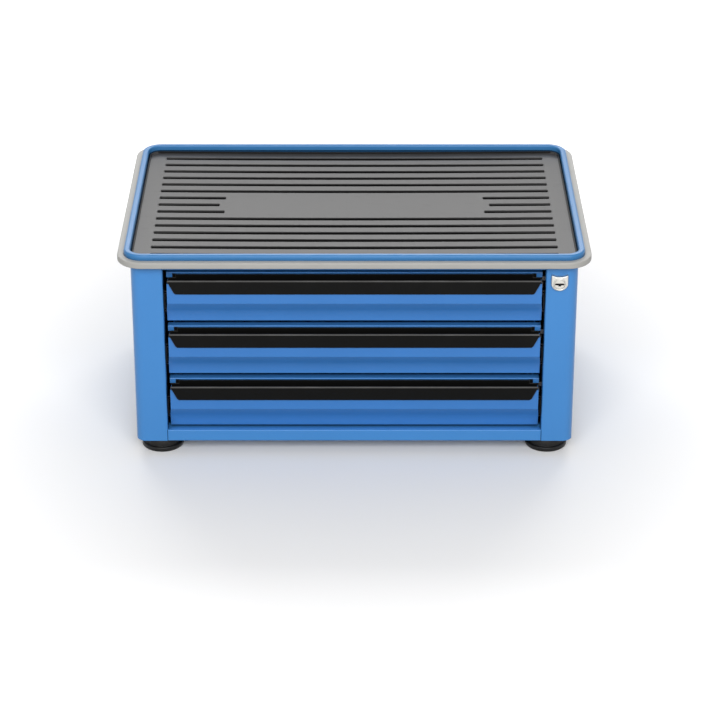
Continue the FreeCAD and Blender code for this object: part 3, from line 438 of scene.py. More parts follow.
@dataclass(frozen=True)
class GripPlastic(Finish):
    """Black extruded plastic: drawn lines along the grip, a faint spark texture, and a paler grey
    near the edges, partly rubbing and partly a painted highlight.
    """

    colour: Point = (0.0026, 0.0026, 0.0025)
    gloss: float = 0.10
    rub_and_sheen: Point = (0.066, 0.064, 0.060)

    def sockets(self, graph: Graph) -> dict[str, Socket]:
        """The grips' sockets, as Finish says."""
        drawn = graph.noise(1.1, 2.0, (0.01, 1.0, 1.0))
        spark = graph.noise(0.45, 2.0)
        hands = graph.noise(38.0, 4.0).between(0.40, 0.75)
        body = hands.mix(self.colour, shade(self.colour, 1.4))
        return {
            # Paler grey near the edges: partly rubbed plastic, partly a painted highlight along the
            # rounded brow
            "Base Color": (graph.edge_closeness(1.3, 0.22) * 0.9).mix(body, self.rub_and_sheen),
            "Roughness": 0.44 + drawn * 0.10 - hands * 0.07,
            "Specular IOR Level": self.gloss,
            "Normal": graph.bump(drawn * 0.5 + spark * 0.5, 0.018, 0.3),
        }


@dataclass(frozen=True)
class Steel(Finish):
    """Bare or plated steel: streaks of rolling, soft patches and bright edges."""

    colour: Point = (0.60, 0.61, 0.62)
    roughness: float = 0.30
    streak: Point = (1.0, 0.02, 1.0)
    patch: float = 0.12
    edge: float = 0.3

    def sockets(self, graph: Graph) -> dict[str, Socket]:
        """The steel's sockets, as Finish says."""
        lines = graph.noise(0.9, 3.0, self.streak)
        cloud = graph.noise(16.0, 4.0)
        tone = cloud.vary(self.colour, self.patch)
        edge_mask = graph.edge_closeness(self.edge * 2)
        return {
            "Base Color": (edge_mask * 0.5).mix(tone, shade(self.colour, 1.4)),
            "Metallic": 1.0,
            "Roughness": self.roughness - 0.06 + lines * 0.12 + cloud * 0.06,
            "Normal": graph.bump(lines, 0.006, self.edge),
        }


@dataclass(frozen=True)
class Chrome(Finish):
    """Plated die casting: bright, slightly cloudy, with a soft casting ripple."""

    colour: Point = (0.80, 0.79, 0.75)
    roughness: float = 0.20
    bright: Point = (0.90, 0.89, 0.86)

    def sockets(self, graph: Graph) -> dict[str, Socket]:
        """The chrome's sockets, as Finish says."""
        haze = graph.noise(3.0, 4.0)
        tone = haze.mix(shade(self.colour, 0.93), shade(self.colour, 1.05))
        return {
            "Base Color": (graph.edge_closeness(0.5) * 0.4).mix(tone, self.bright),
            "Metallic": 1.0,
            "Roughness": self.roughness - 0.04 + haze * 0.10,
            "Normal": graph.bump(graph.noise(1.6, 2.0), 0.010, 0.25),
        }


class Paintbox:
    """All finishes, by the record's slots."""

    def __init__(self) -> None:
        """Makes one material for each slot, and the grey of the strips that paint a highlight along
        the grips' brows.
        """
        upright = (1.0, 1.0, 0.02)
        finishes = {
            Slot.CARCASS: Enamel("carcass_enamel"),
            # Painted shade: the tray and front enamels are darker copies of the carcass blue, the
            # tray's to offset the stronger light on its top, the front's to match a strip lying in
            # shade
            Slot.TRAY: Enamel("tray_enamel", (0.044, 0.196, 0.450), 0.30, 0.008, 0.3, 0.30),
            Slot.DRAWER: Enamel("drawer_enamel", (0.046, 0.215, 0.560), 0.34, edge=0.3),
            Slot.FRONT: Enamel("front_enamel", (0.041, 0.196, 0.545), edge=0.4),
            Slot.ZINC: Steel("black_zinc_plate", (0.10, 0.10, 0.105), 0.40, upright, 0.15, 0.4),
            Slot.SLIDE: Steel("slide_steel_black", (0.055, 0.055, 0.060), 0.32),
            Slot.BOLT: Steel("bolt_plate", (0.50, 0.50, 0.49), streak=EVEN, edge=0.25),
            Slot.PLUG: Chrome("plug_chrome", (0.62, 0.61, 0.57), 0.34),
            Slot.LOCK: Chrome("barrel_chrome", (0.63, 0.62, 0.58), 0.32),
            Slot.FOOT: FootRubber("foot_rubber_black"),
            Slot.MAT: MatRubber("mat_rubber_dark"),
            Slot.BAND: BandRubber("band_rubber_grey"),
            Slot.GRIP: GripPlastic("grip_plastic_black"),
        }
        self.materials = {slot: finish.material() for slot, finish in finishes.items()}
        # Paler grey plastic for the strip that paints a highlight along each grip's brow
        self.grip_edge = GripPlastic("grip_edge_grey", (0.050, 0.049, 0.047), 0.30).material()

    def dress_nodes(self) -> int:
        """Gives every carried-over CAD node the finish of its slot.

        Returns:
            How many nodes were dressed.
        """
        subparts = frame["record"]["subparts"]
        by_node = {part["node"]: Slot(part["material_slot"]) for part in subparts}
        for name, node in frame["nodes"].items():
            for place in node.material_slots:
                place.material = self.materials[by_node[name]]
        return len(by_node)


# Outlines


def rounded_path(corners: Sequence[Point], steps: int = 5) -> list[Flat]:
    """A closed outline whose corners are rounded.

    Args:
        corners: First and second coordinate and corner radius of each corner, in order.
        steps: Segments in each rounded corner.

    Returns:
        The outline's points.
    """
    points: list[Flat] = []
    for number, (x, y, radius) in enumerate(corners):
        if radius <= 0:
            points.append((x, y))
            continue
        here = Vector((x, y))
        before = (Vector(corners[number - 1][:2]) - here).normalized()
        after = (Vector(corners[(number + 1) % len(corners)][:2]) - here).normalized()
        half = before.angle(after) / 2
        centre = here + (before + after).normalized() * (radius / math.sin(half))
        reach = radius / math.tan(half)
        start, end = here + before * reach - centre, here + after * reach - centre
        turn = start.angle_signed(end)
        for step in range(steps + 1):
            cos, sin = math.cos(-turn * step / steps), math.sin(-turn * step / steps)
            spun = (start.x * cos - start.y * sin, start.x * sin + start.y * cos)
            points.append((centre.x + spun[0], centre.y + spun[1]))
    return points


def arc_points(centre: Flat, radius: float, start: float, end: float, steps: int) -> list[Flat]:
    """Points on an arc.

    Args:
        centre: Its centre.
        radius: Its radius; a negative one puts the arc on the centre's other side.
        start: First angle in degrees.
        end: Last angle in degrees.
        steps: Number of segments.

    Returns:
        The points, both ends included.
    """
    angles = [math.radians(start + (end - start) * step / steps) for step in range(steps + 1)]
    return [(centre[0] + radius * math.cos(a), centre[1] + radius * math.sin(a)) for a in angles]


def rounded_rectangle(half_x: float, half_y: float, radius: float, steps: int) -> list[Flat]:
    """Points of a rectangle with round corners, anticlockwise from the right lower one.

    Args:
        half_x: Half its width.
        half_y: Half its depth.
        radius: Corner radius.
        steps: Segments in each corner.

    Returns:
        The points.
    """
    points = []
    for quarter, (sign_x, sign_y) in enumerate(((1, -1), (1, 1), (-1, 1), (-1, -1))):
        centre = (sign_x * (half_x - radius), sign_y * (half_y - radius))
        points += arc_points(centre, radius, 90 * (quarter - 1), 90 * quarter, steps)
    return points


def oblong(y: float, z: float, rear: float, top: float) -> list[Flat]:
    """The corners of an oblong, from its lower front one to its upper front one."""
    return [(y, z), (rear, z), (rear, top), (y, top)]


# Meshes


def add(name: str, data: bpy.types.ID) -> bpy.types.Object:
    """Puts a new object in the scene.

    Args:
        name: Its name.
        data: Its mesh, camera or lamp.

    Returns:
        The object.
    """
    item = bpy.data.objects.new(name, data)
    bpy.context.scene.collection.objects.link(item)
    return item


class Shell:
    """A mesh being built, in millimetres."""

    def __init__(self, name: str) -> None:
        """Starts an empty mesh.

        Args:
            name: Name of the piece.
        """
        self.name = name
        self.mesh = bmesh.new()

    def loop(self, points: Sequence[Point]) -> Row:
        """Adds a row of points."""
        return [self.mesh.verts.new(Vector(point) * MM) for point in points]

    def face(self, corners: Sequence[bmesh.types.BMVert]) -> None:
        """Adds one face, left out where it has shrunk to a line."""
        if len(set(corners)) > 2:
            self.mesh.faces.new(corners)

    def bridge(self, first: Row, second: Row) -> None:
        """Adds the strip of faces between two closed rows of as many points."""
        for here in range(len(first)):
            there = (here + 1) % len(first)
            self.face((first[here], first[there], second[there], second[here]))

    def tube(self, rows: Sequence[Row], closed: bool = True) -> None:
        """Joins rows one after another, and the last to the first where closed.

        Args:
            rows: Rows of as many points each.
            closed: Whether the last row joins the first.
        """
        count = len(rows)
        for here in range(count if closed else count - 1):
            self.bridge(rows[here], rows[(here + 1) % count])

    def fill(self, loops: Sequence[Row], axes: tuple[int, int]) -> None:
        """Fills an outline, with holes where further loops are given.

        Args:
            loops: The outer loop and then any holes.
            axes: The two coordinates that the loops are flat in.
        """
        flat = [[Vector((v.co[axes[0]], v.co[axes[1]], 0.0)) for v in loop] for loop in loops]
        corners = [vertex for loop in loops for vertex in loop]
        for triangle in tessellate_polygon(flat):
            self.face([corners[number] for number in triangle])

    def _close(self, ends: Sequence[Row]) -> None:
        """Joins the two ends of a solid along X and fills both."""
        self.bridge(*ends)
        for end in ends:
            self.fill([end], ACROSS_X)

    def prism(self, outline: Sequence[Flat], reach: Callable[[float, float], float]) -> None:
        """A solid along X with the same outline in Y and Z throughout.

        Args:
            outline: The outline's points in Y and Z.
            reach: Half the solid's length at a point of the outline.
        """
        signs = (-1, 1)
        self._close([self.loop([(sign * reach(y, z), y, z) for y, z in outline]) for sign in signs])

    def slab(self, outline: Sequence[Flat], low: float, high: float) -> None:
        """A solid along X between two places.

        Args:
            outline: The outline's points in Y and Z.
            low: Place of one end.
            high: Place of the other end.
        """
        self._close([self.loop([(x, y, z) for y, z in outline]) for x in (low, high)])

    def slabs(self, outline: Sequence[Flat], near: float, far: float) -> None:
        """The same slab at either side of the chest.

        Args:
            outline: The outline's points in Y and Z.
            near: Distance of one end from the chest's middle.
            far: Distance of the other end.
        """
        for side in Side:
            self.slab(outline, *sorted((side.value * near, side.value * far)))

    def sweep(self, half: Flat, corner: float, profile: Sequence[Flat], steps: int) -> list[Row]:
        """Rows of points round a rounded rectangle, one for each point of a profile.

        Args:
            half: Half width and half depth of the rectangle.
            corner: Its corner radius.
            profile: Distance inward from the rectangle, and height, of each point.
            steps: Segments in each corner.

        Returns:
            The rows, not yet joined.
        """
        rows = []
        for inward, z in profile:
            around = rounded_rectangle(half[0] - inward, half[1] - inward, corner - inward, steps)
            rows.append(self.loop([(x, y, z) for x, y in around]))
        return rows

    def lathe(self, centre: Point, profile: Sequence[Flat], steps: int) -> None:
        """A solid of revolution about a vertical line.

        Args:
            centre: Foot of the axis.
            profile: Radius and height of each point of a closed outline.
            steps: Segments round.
        """
        rows = []
        for radius, z in profile:
            around = arc_points(centre[:2], radius, 0, 360 - 360 / steps, steps - 1)
            rows.append(self.loop([(x, y, centre[2] + z) for x, y in around]))
        self.tube(rows)

    def finish(
        self, material: bpy.types.Material, sharp: float = 32.0, bevel: float = 0.0
    ) -> bpy.types.Object:
        """Turns the mesh into a piece.

        Args:
            material: Its finish.
            sharp: Angle in degrees above which an edge stays sharp.
            bevel: Width in millimetres to which sharp edges are rounded.

        Returns:
            The piece.
        """
        bmesh.ops.remove_doubles(self.mesh, verts=self.mesh.verts, dist=1e-7)
        bmesh.ops.recalc_face_normals(self.mesh, faces=self.mesh.faces)
        data = bpy.data.meshes.new(self.name)
        self.mesh.to_mesh(data)
        self.mesh.free()
        data.shade_smooth()
        data.set_sharp_from_angle(angle=math.radians(sharp))
        data.materials.append(material)
        piece = add(self.name, data)
        if bevel > 0:
            rounding = piece.modifiers.new("rounded_edges", "BEVEL")
            rounding.width = bevel * MM
            rounding.segments = 2
            rounding.limit_method = "ANGLE"
            rounding.angle_limit = math.radians(sharp)
            rounding.harden_normals = True
        even = piece.modifiers.new("even_normals", "WEIGHTED_NORMAL")
        even.keep_sharp = True
        return piece


def millimetres(node: str) -> tuple[Vector, Vector]:
    """The lowest and highest corner of a CAD node in millimetres."""
    low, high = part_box(node)
    return low / MM, high / MM


# Sub-assemblies


@dataclass
class Assembly:
    """A group of pieces dressed from one set of finishes."""

    paints: Paintbox

    def settle(
        self,
        shell: Shell,
        slot: Slot,
        sharp: float,
        *nodes: str,
        body: str = "chest",
        bevel: float = 0.0,
        material: bpy.types.Material | None = None,
    ) -> None:
        """Makes a piece that rides on its body and stands for the nodes it replaces.

        Args:
            shell: Its mesh.
            slot: The record's slot of its finish.
            sharp: Angle in degrees above which an edge stays sharp.
            nodes: CAD nodes that it stands for.
            body: The body that carries it.
            bevel: Width in millimetres to which sharp edges are rounded.
            material: Its finish, where that isn't the slot's own.
        """
        piece = shell.finish(material or self.paints.materials[slot], sharp, bevel)
        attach(piece, body)
        if nodes:
            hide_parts(*nodes)
        log.info("%s rides on %s, %d faces", piece.name, body, len(piece.data.polygons))


@dataclass
class TrayTop(Assembly):
    """Tray with its hollow beaded rim, the grooved mat in it and the soft band round it."""

    steel: float = 1.0
    wall: float = 10.0
    crest_drop: float = 0.4
    undercut: float = 5.2
    roll: float = 3.7
    inner_roll: float = 3.0
    bead: float = 9.6
    bead_roll: float = 1.5
    bead_fit: float = 0.4
    floor_bend: float = 1.6
    foot_step: float = 0.001
    corner: float = 30.0
    band_round: float = 2.0
    band_seat: float = 0.6
    band_trim: float = 0.9
    band_rise: float = 0.8
    mat_corner: float = 18.4
    mat_chamfer: Flat = (0.6, 0.8)
    mat_edge: float = 1.4
    mat_lip: float = 3.4
    mat_fillet: float = 0.8
    mat_bow: float = 1.8
    pitch: float = 27.25
    groove_shift: float = -1.6
    groove_half: float = 5.0
    groove_depth: float = 6.2
    groove_reach: float = 312.6
    groove_corner: float = 2.5
    lip: float = 0.6
    field: float = 206.0
    middle_extra: float = 9.0
    rows: int = 15
    plain_rows: int = 3
    column_step: float = 24.0

    def build(self) -> None:
        """Builds the three pieces."""
        self.tray()
        self.mat()
        self.band()

    def tray(self) -> None:
        """The pan; its inner wall rolls over into the outer one and carries a bead."""
        low, high = millimetres("top_tray")
        half = (high.x, high.y)
        top, floor = high.z - self.crest_drop, low.z + self.steel
        ledge = high.z - self.bead
        foot = self.wall - self.undercut
        outer = (self.roll, top - self.roll)
        inner = (self.wall - self.inner_roll, top - self.inner_roll)
        bead = (self.wall - self.bead_roll, ledge + self.bead_roll)
        bend = (foot + self.floor_bend, floor + self.floor_bend)
        above = [
            (0.0, low.z),
            *arc_points(outer, -self.roll, 0, -90, 8),
            *arc_points(inner, self.inner_roll, 90, 0, 8),
            *arc_points(bead, self.bead_roll, 0, -90, 5),
            (foot, ledge),
            *arc_points(bend, -self.floor_bend, 0, 90, 5),
        ]
        skin, roof = foot - self.steel, ledge + self.steel + self.bead_fit
        below = [
            (self.steel, low.z),
            *arc_points(outer, self.steel - self.roll, 0, -90, 6),
            *arc_points(inner, self.inner_roll - self.steel, 90, 0, 6),
            (self.wall - self.steel, roof),
            (skin, roof),
            (skin, low.z + self.foot_step),
            (skin, low.z),
        ]
        shell = Shell("tray_pan")
        rows, under = (shell.sweep(half, self.corner, side, 16) for side in (above, below))
        shell.tube(rows, closed=False)
        shell.fill([rows[-1]], ACROSS_Z)
        shell.tube(under, closed=False)
        shell.bridge(rows[0], under[0])
        shell.fill([under[-1]], ACROSS_Z)
        self.settle(shell, Slot.TRAY, 40, "top_tray")

    def grooves(self) -> list[Point]:
        """Left end, right end and middle of each groove."""
        middle = self.rows // 2
        found = []
        for row in range(self.rows):
            y = self.pitch * (row - middle) + self.groove_shift
            if abs(row - middle) <= self.plain_rows // 2:
                field = self.field + (self.middle_extra if row == middle else 0.0)
                found.append((-self.groove_reach, -field, y))
                found.append((field, self.groove_reach, y))
            else:
                found.append((-self.groove_reach, self.groove_reach, y))
        return found

    def groove(self, shell: Shell, ends: Point, top: float) -> Row:
        """One groove with a softened lip and floor.

        Args:
            shell: The mat's mesh.
            ends: Left end, right end and middle of the groove.
            top: Height of the mat's face.

        Returns:
            The row of points at its lip.
        """
        lip, floor = self.lip, top - self.groove_depth
        upper, lower = (0.0, 0.5, 1.0, math.pi / 2), (0.0, 0.8, math.pi / 2)
        profile = [(lip - lip * math.sin(a), top - lip + lip * math.cos(a)) for a in upper]
        profile += [(-lip * (1 - math.cos(a)), floor + lip * (1 - math.sin(a))) for a in lower]
        centre, reach = (ends[0] + ends[1]) / 2, (ends[1] - ends[0]) / 2
        rows = []
        for grow, z in profile:
            half, corner = self.groove_half + grow, self.groove_corner + grow
            around = rounded_rectangle(reach + grow, half, corner, 5)
            rows.append(shell.loop([(x + centre, y + ends[2], z) for x, y in around]))
        shell.tube(rows, closed=False)
        shell.fill([rows[-1]], ACROSS_Z)
        return rows[0]

    def mat(self) -> None:
        """The grooved mat with its raised edge, which lies a little hollow along its length."""
        low, high = millimetres("top_mat")
        edge, fillet = self.mat_edge, self.mat_fillet
        rim = [
            (self.mat_chamfer[0], low.z),
            (0.0, low.z + self.mat_chamfer[1]),
            *arc_points((edge / 2, high.z + self.mat_lip - edge / 2), -edge / 2, 0, -180, 8),
            *arc_points((edge + fillet, high.z + fillet), fillet, 180, 270, 4),
        ]
        shell = Shell("work_mat")
        rows = shell.sweep((high.x, high.y), self.mat_corner, rim, 12)
        shell.tube(rows, closed=False)
        shell.fill([rows[0]], ACROSS_Z)
        holes = [self.groove(shell, ends, high.z) for ends in self.grooves()]
        shell.fill([rows[-1], *holes], ACROSS_Z)
        mesh = shell.mesh
        columns = int(high.x // self.column_step)
        for column in range(-columns, columns + 1):
            cut = Vector((column * self.column_step * MM, 0.0, 0.0))
            everything = [*mesh.verts, *mesh.edges, *mesh.faces]
            bmesh.ops.bisect_plane(mesh, geom=everything, plane_co=cut, plane_no=(1.0, 0.0, 0.0))
        for vertex in mesh.verts:
            share = min((vertex.co.z / MM - low.z) / (high.z - low.z), 1.0)
            hollow = 1.0 - (vertex.co.x / MM / high.x) ** 2
            vertex.co.z -= self.mat_bow * share * hollow * MM
        self.settle(shell, Slot.MAT, 40, "top_mat")

    def band(self) -> None:
        """The soft band, round outside, with a seat that grips the tray's edge."""
        low, high = millimetres("edge_band")
        base, top = low.z + self.band_trim, high.z + self.band_rise
        thick = high.x - millimetres("top_tray")[1].x
        large, small = self.band_round, self.band_seat
        profile = [
            *arc_points((thick - small, base + small), small, 0, -90, 3),
            *arc_points((large, base + large), -large, 90, 0, 7),
            *arc_points((large, top - large), -large, 0, -90, 7),
            *arc_points((thick - small, top - small), small, 90, 0, 3),
        ]
        shell = Shell("bumper_band")
        shell.tube(shell.sweep((high.x, high.y), self.corner + thick, profile, 20))
        self.settle(shell, Slot.BAND, 60, "edge_band")


@dataclass
class Drawer(Assembly):
    """One drawer's outer and inner front sheets, and its grip with a grey strip that paints the
    highlight along its brow.
    """

    number: int
    steel: float = 1.2
    recess: float = 12.8
    slant: float = 30.0
    flat: float = 12.0
    lengthen: float = 3.1
    straight: float = 1.6
    nose: float = 35.1
    foot_bend: float = 1.1
    lip: float = 8.0
    taper: float = 13.0
    end_inset: float = 1.4
    cap_steel: float = 1.0
    cap_drop: float = 0.4
    grip_cover: float = 2.6
    grip_wall: float = 2.2
    grip_fit: float = 0.2
    grip_end: float = 2.2
    grip_cut: float = 11.0
    grip_shoulder: float = 1.2
    grip_nose: float = 1.6
    nose_share: float = 0.14
    foot_share: float = 0.06
    grip_brow: float = 3.4
    grip_brow_round: float = 1.7
    grip_drop: float = 19.8
    shoulder_drop: float = 3.6
    edge_proud: float = 0.15
    edge_drop: float = 2.0
    edge_bite: float = 0.5
    edge_thick: float = 0.9
    edge_end: float = 0.2
    edge_slope: float = 0.7
    edge_heel: float = 0.3
    rear_drop: float = 0.1
    rear_rise: float = 5.3
    rear_half: float = 273.5
    shade_block_root: float = 2.0
    shade_block_rise: float = 6.2
    shade_block_half: float = 278.7
    shade_block_share: float = 0.8
    trough_end: float = 0.5
    step: float = 0.01
    overlap: float = 0.1
    upper_rise: float = 2.1
    flange_steel: float = 1.0
    curl: float = 1.4
    curl_hollow: float = 0.6
    hem: float = 5.0
    wall_in: float = 1.6
    wall_half: float = 281.0
    notch_half: float = 274.4
    notch_drop: float = 6.4
    tab_in: float = 279.0
    tab_drop: float = 8.6

    def build(self) -> None:
        """Builds the four pieces."""
        self.front()
        self.inner()
        self.grip()

    @property
    def body(self) -> str:
        """The body that the drawer's pieces ride on."""
        return f"drawer_{self.number}"

    def front(self) -> None:
        """Outer sheet: folded lip, hollow face, nose and upper strip, with closed ends."""
        node = f"drawer_front_{self.number}"
        low, high = millimetres(node)
        base, face, half = low.z - self.lengthen, low.y, high.x
        foot, steel, bend = face + self.recess, self.steel, self.foot_bend
        slope = math.radians(self.slant)
        radius = (self.nose - self.straight - self.flat) / math.sin(slope)
        hollow = arc_points((foot - radius, base + self.straight), radius, 0, self.slant, 16)
        hollow.append((hollow[-1][0] - self.flat * math.tan(slope), base + self.nose))
        outline = [
            *arc_points((foot + bend, base + bend), bend, 180, 270, 5),
            (foot + self.lip, base),
            (foot + self.lip, base + steel),
            (foot + steel, base + steel),
            *[(y + steel, z) for y, z in hollow],
            (face + steel, high.z),
            (face, high.z),
            *reversed(hollow),
        ]

        def reach(_: float, z: float) -> float:
            """Half the sheet's width at a height."""
            share = (z - base - self.nose + self.taper) / self.taper
            return half - self.end_inset * min(max(share, 0.0), 1.0)

        shell = Shell(f"front_sheet_{self.number}")
        shell.prism(outline, reach)
        cap_out, cap_top = half - self.end_inset, high.z - self.cap_drop
        rear = millimetres(f"drawer_handle_{self.number}")[1].y
        cap = [
            (foot + steel / 2, base + steel / 2),
            (rear, base + steel / 2),
            (rear, cap_top),
            (face + steel / 2, cap_top),
            *[(y + steel / 2, z) for y, z in reversed(hollow)],
        ]
        shell.slabs(cap, cap_out - self.cap_steel, cap_out)
        self.settle(shell, Slot.FRONT, 12, node, body=self.body, bevel=0.3)

    def inner(self) -> None:
        """Inner sheet: wall with a notch at each end, curled edge, hemmed flange and two tabs."""
        node = f"drawer_front_inner_{self.number}"
        low, high = millimetres(node)
        top, rear, steel = high.z + self.upper_rise, high.y, self.flange_steel
        wall = low.y + self.wall_in
        middle = (wall, top - self.curl)
        curl = [
            (rear, top - self.hem),
            *arc_points((rear - steel, top - steel), steel, 0, 90, 4),
            *arc_points(middle, self.curl, 90, 330, 22),
            *arc_points(middle, self.curl_hollow, 330, 90, 14),
            (rear - steel, top - steel),
            (rear - steel, top - self.hem),
        ]
        shell = Shell(f"inner_front_{self.number}")
        shell.prism(curl, lambda _, z: self.notch_half if z < top - self.curl * 3 else high.x)
        notch = top - self.curl - self.notch_drop
        shell.slab(oblong(wall, low.z, wall + steel, notch), -self.wall_half, self.wall_half)
        upper = oblong(wall, notch - self.step, wall + steel, top - self.curl * 1.5)
        shell.slab(upper, -self.notch_half, self.notch_half)
        tab = oblong(low.y, top - self.tab_drop, low.y + steel, middle[1])
        shell.slabs(tab, self.tab_in, high.x)
        self.settle(shell, Slot.DRAWER, 25, node, body=self.body, bevel=0.15)

    def grip(self) -> None:
        """Extruded grip clipped over the strip, with the finger trough behind its flap."""
        node = f"drawer_handle_{self.number}"
        low, high = millimetres(node)
        strip_top = millimetres(f"drawer_front_{self.number}")[1].z + self.grip_fit
        face, front = low.y, low.y + self.grip_cover
        strip = front + self.steel + self.grip_fit
        wall, rear, trough, top = self.grip_wall, high.y, low.z, high.z
        flap, brow = top - self.grip_drop, top + self.grip_brow
        shoulder = brow - self.shoulder_drop
        rear_low, rear_top, step = top - self.rear_drop, top + self.rear_rise, self.step
        half = high.x - self.grip_end
        shares = (1.0, 0.5, self.nose_share, self.foot_share)
        # Place, height and radius of each corner, from the flap's foot round the trough
        outline = rounded_path(
            [
                (face, flap, 0.8),
                (front, flap, 0.4),
                (front, strip_top, 0),
                (strip, strip_top, 0),
                (strip, strip_top - step, 0),
                (strip, trough, 1.6),
                (rear, trough, 1.6),
                (rear, rear_low, 0),
                (rear, rear_low + step, 0),
                (rear, rear_top, 0.5),
                (rear - wall, rear_top, 0.5),
                (rear - wall, rear_low + step, 0),
                (rear - wall, rear_low, 0),
                (rear - wall, trough + wall, wall),
                (strip + wall, trough + wall, wall),
                (strip + wall, strip_top - step, 0),
                (strip + wall, strip_top, 0),
                (strip + wall, top, 0.9),
                (front + 0.4, brow - 0.6, 1.0),
                (face, brow, self.grip_brow_round),
                *[(face, flap + share * (shoulder - flap), 0) for share in shares],
            ]
        )

        def reach(y: float, z: float) -> float:
            """Half the grip's length at a point of its outline."""
            behind = y > front + self.overlap
            if y > strip + wall + self.overlap and z > rear_low + step / 2:
                return self.rear_half
            if behind and z < strip_top - step / 2:
                return half - self.trough_end
            share = (z - flap) / (shoulder - flap)
            if share > 1.0 or behind:
                return half
            cut = self.grip_cut + (self.grip_shoulder - self.grip_cut) * max(share, 0.0)
            return half - cut - self.grip_nose * max(1 - share / self.nose_share, 0.0)

        shell = Shell(f"grip_{self.number}")
        shell.prism(outline, reach)
        # Black blocks at both ends fill the inner sheet's notches: dark plastic put where the
        # notches show only shade, a painted shade
        root, crest = rear_low - self.shade_block_root, top + self.shade_block_rise
        inside = rear - wall * self.shade_block_share
        shade_block = [(rear, root, 0), (rear, crest, 0.4), (inside, crest, 0.4), (inside, root, 0)]
        shell.slabs(rounded_path(shade_block), self.rear_half - self.overlap, self.shade_block_half)
        self.settle(shell, Slot.GRIP, 30, node, body=self.body, bevel=0.3)
        self.grip_edge(face, brow, half)

    def grip_edge(self, face: float, brow: float, half: float) -> None:
        """Grey strip over the brow of the grip's flap: a painted highlight along its rounded top
        edge.

        Args:
            face: Place of the flap's front.
            brow: Height of its top.
            half: Half the grip's length.
        """
        front, back, foot = face - self.edge_proud, face + self.grip_cover, brow - self.edge_drop
        inside, roof, crest = face + self.edge_bite, brow - self.edge_thick, brow + self.edge_proud
        outline = rounded_path(
            [
                (front, foot, 0.1),
                (inside, foot, 0),
                (inside, roof, 0.4),
                (back, roof, 0),
                (back, brow - self.edge_heel, self.edge_heel),
                (face + self.grip_cover * self.edge_slope, crest, 0.8),
                (front, crest, self.grip_brow_round),
            ],
            6,
        )
        shell = Shell(f"grip_edge_{self.number}")
        shell.slab(outline, self.edge_end - half, half - self.edge_end)
        self.settle(shell, Slot.GRIP, 35, body=self.body, material=self.paints.grip_edge)


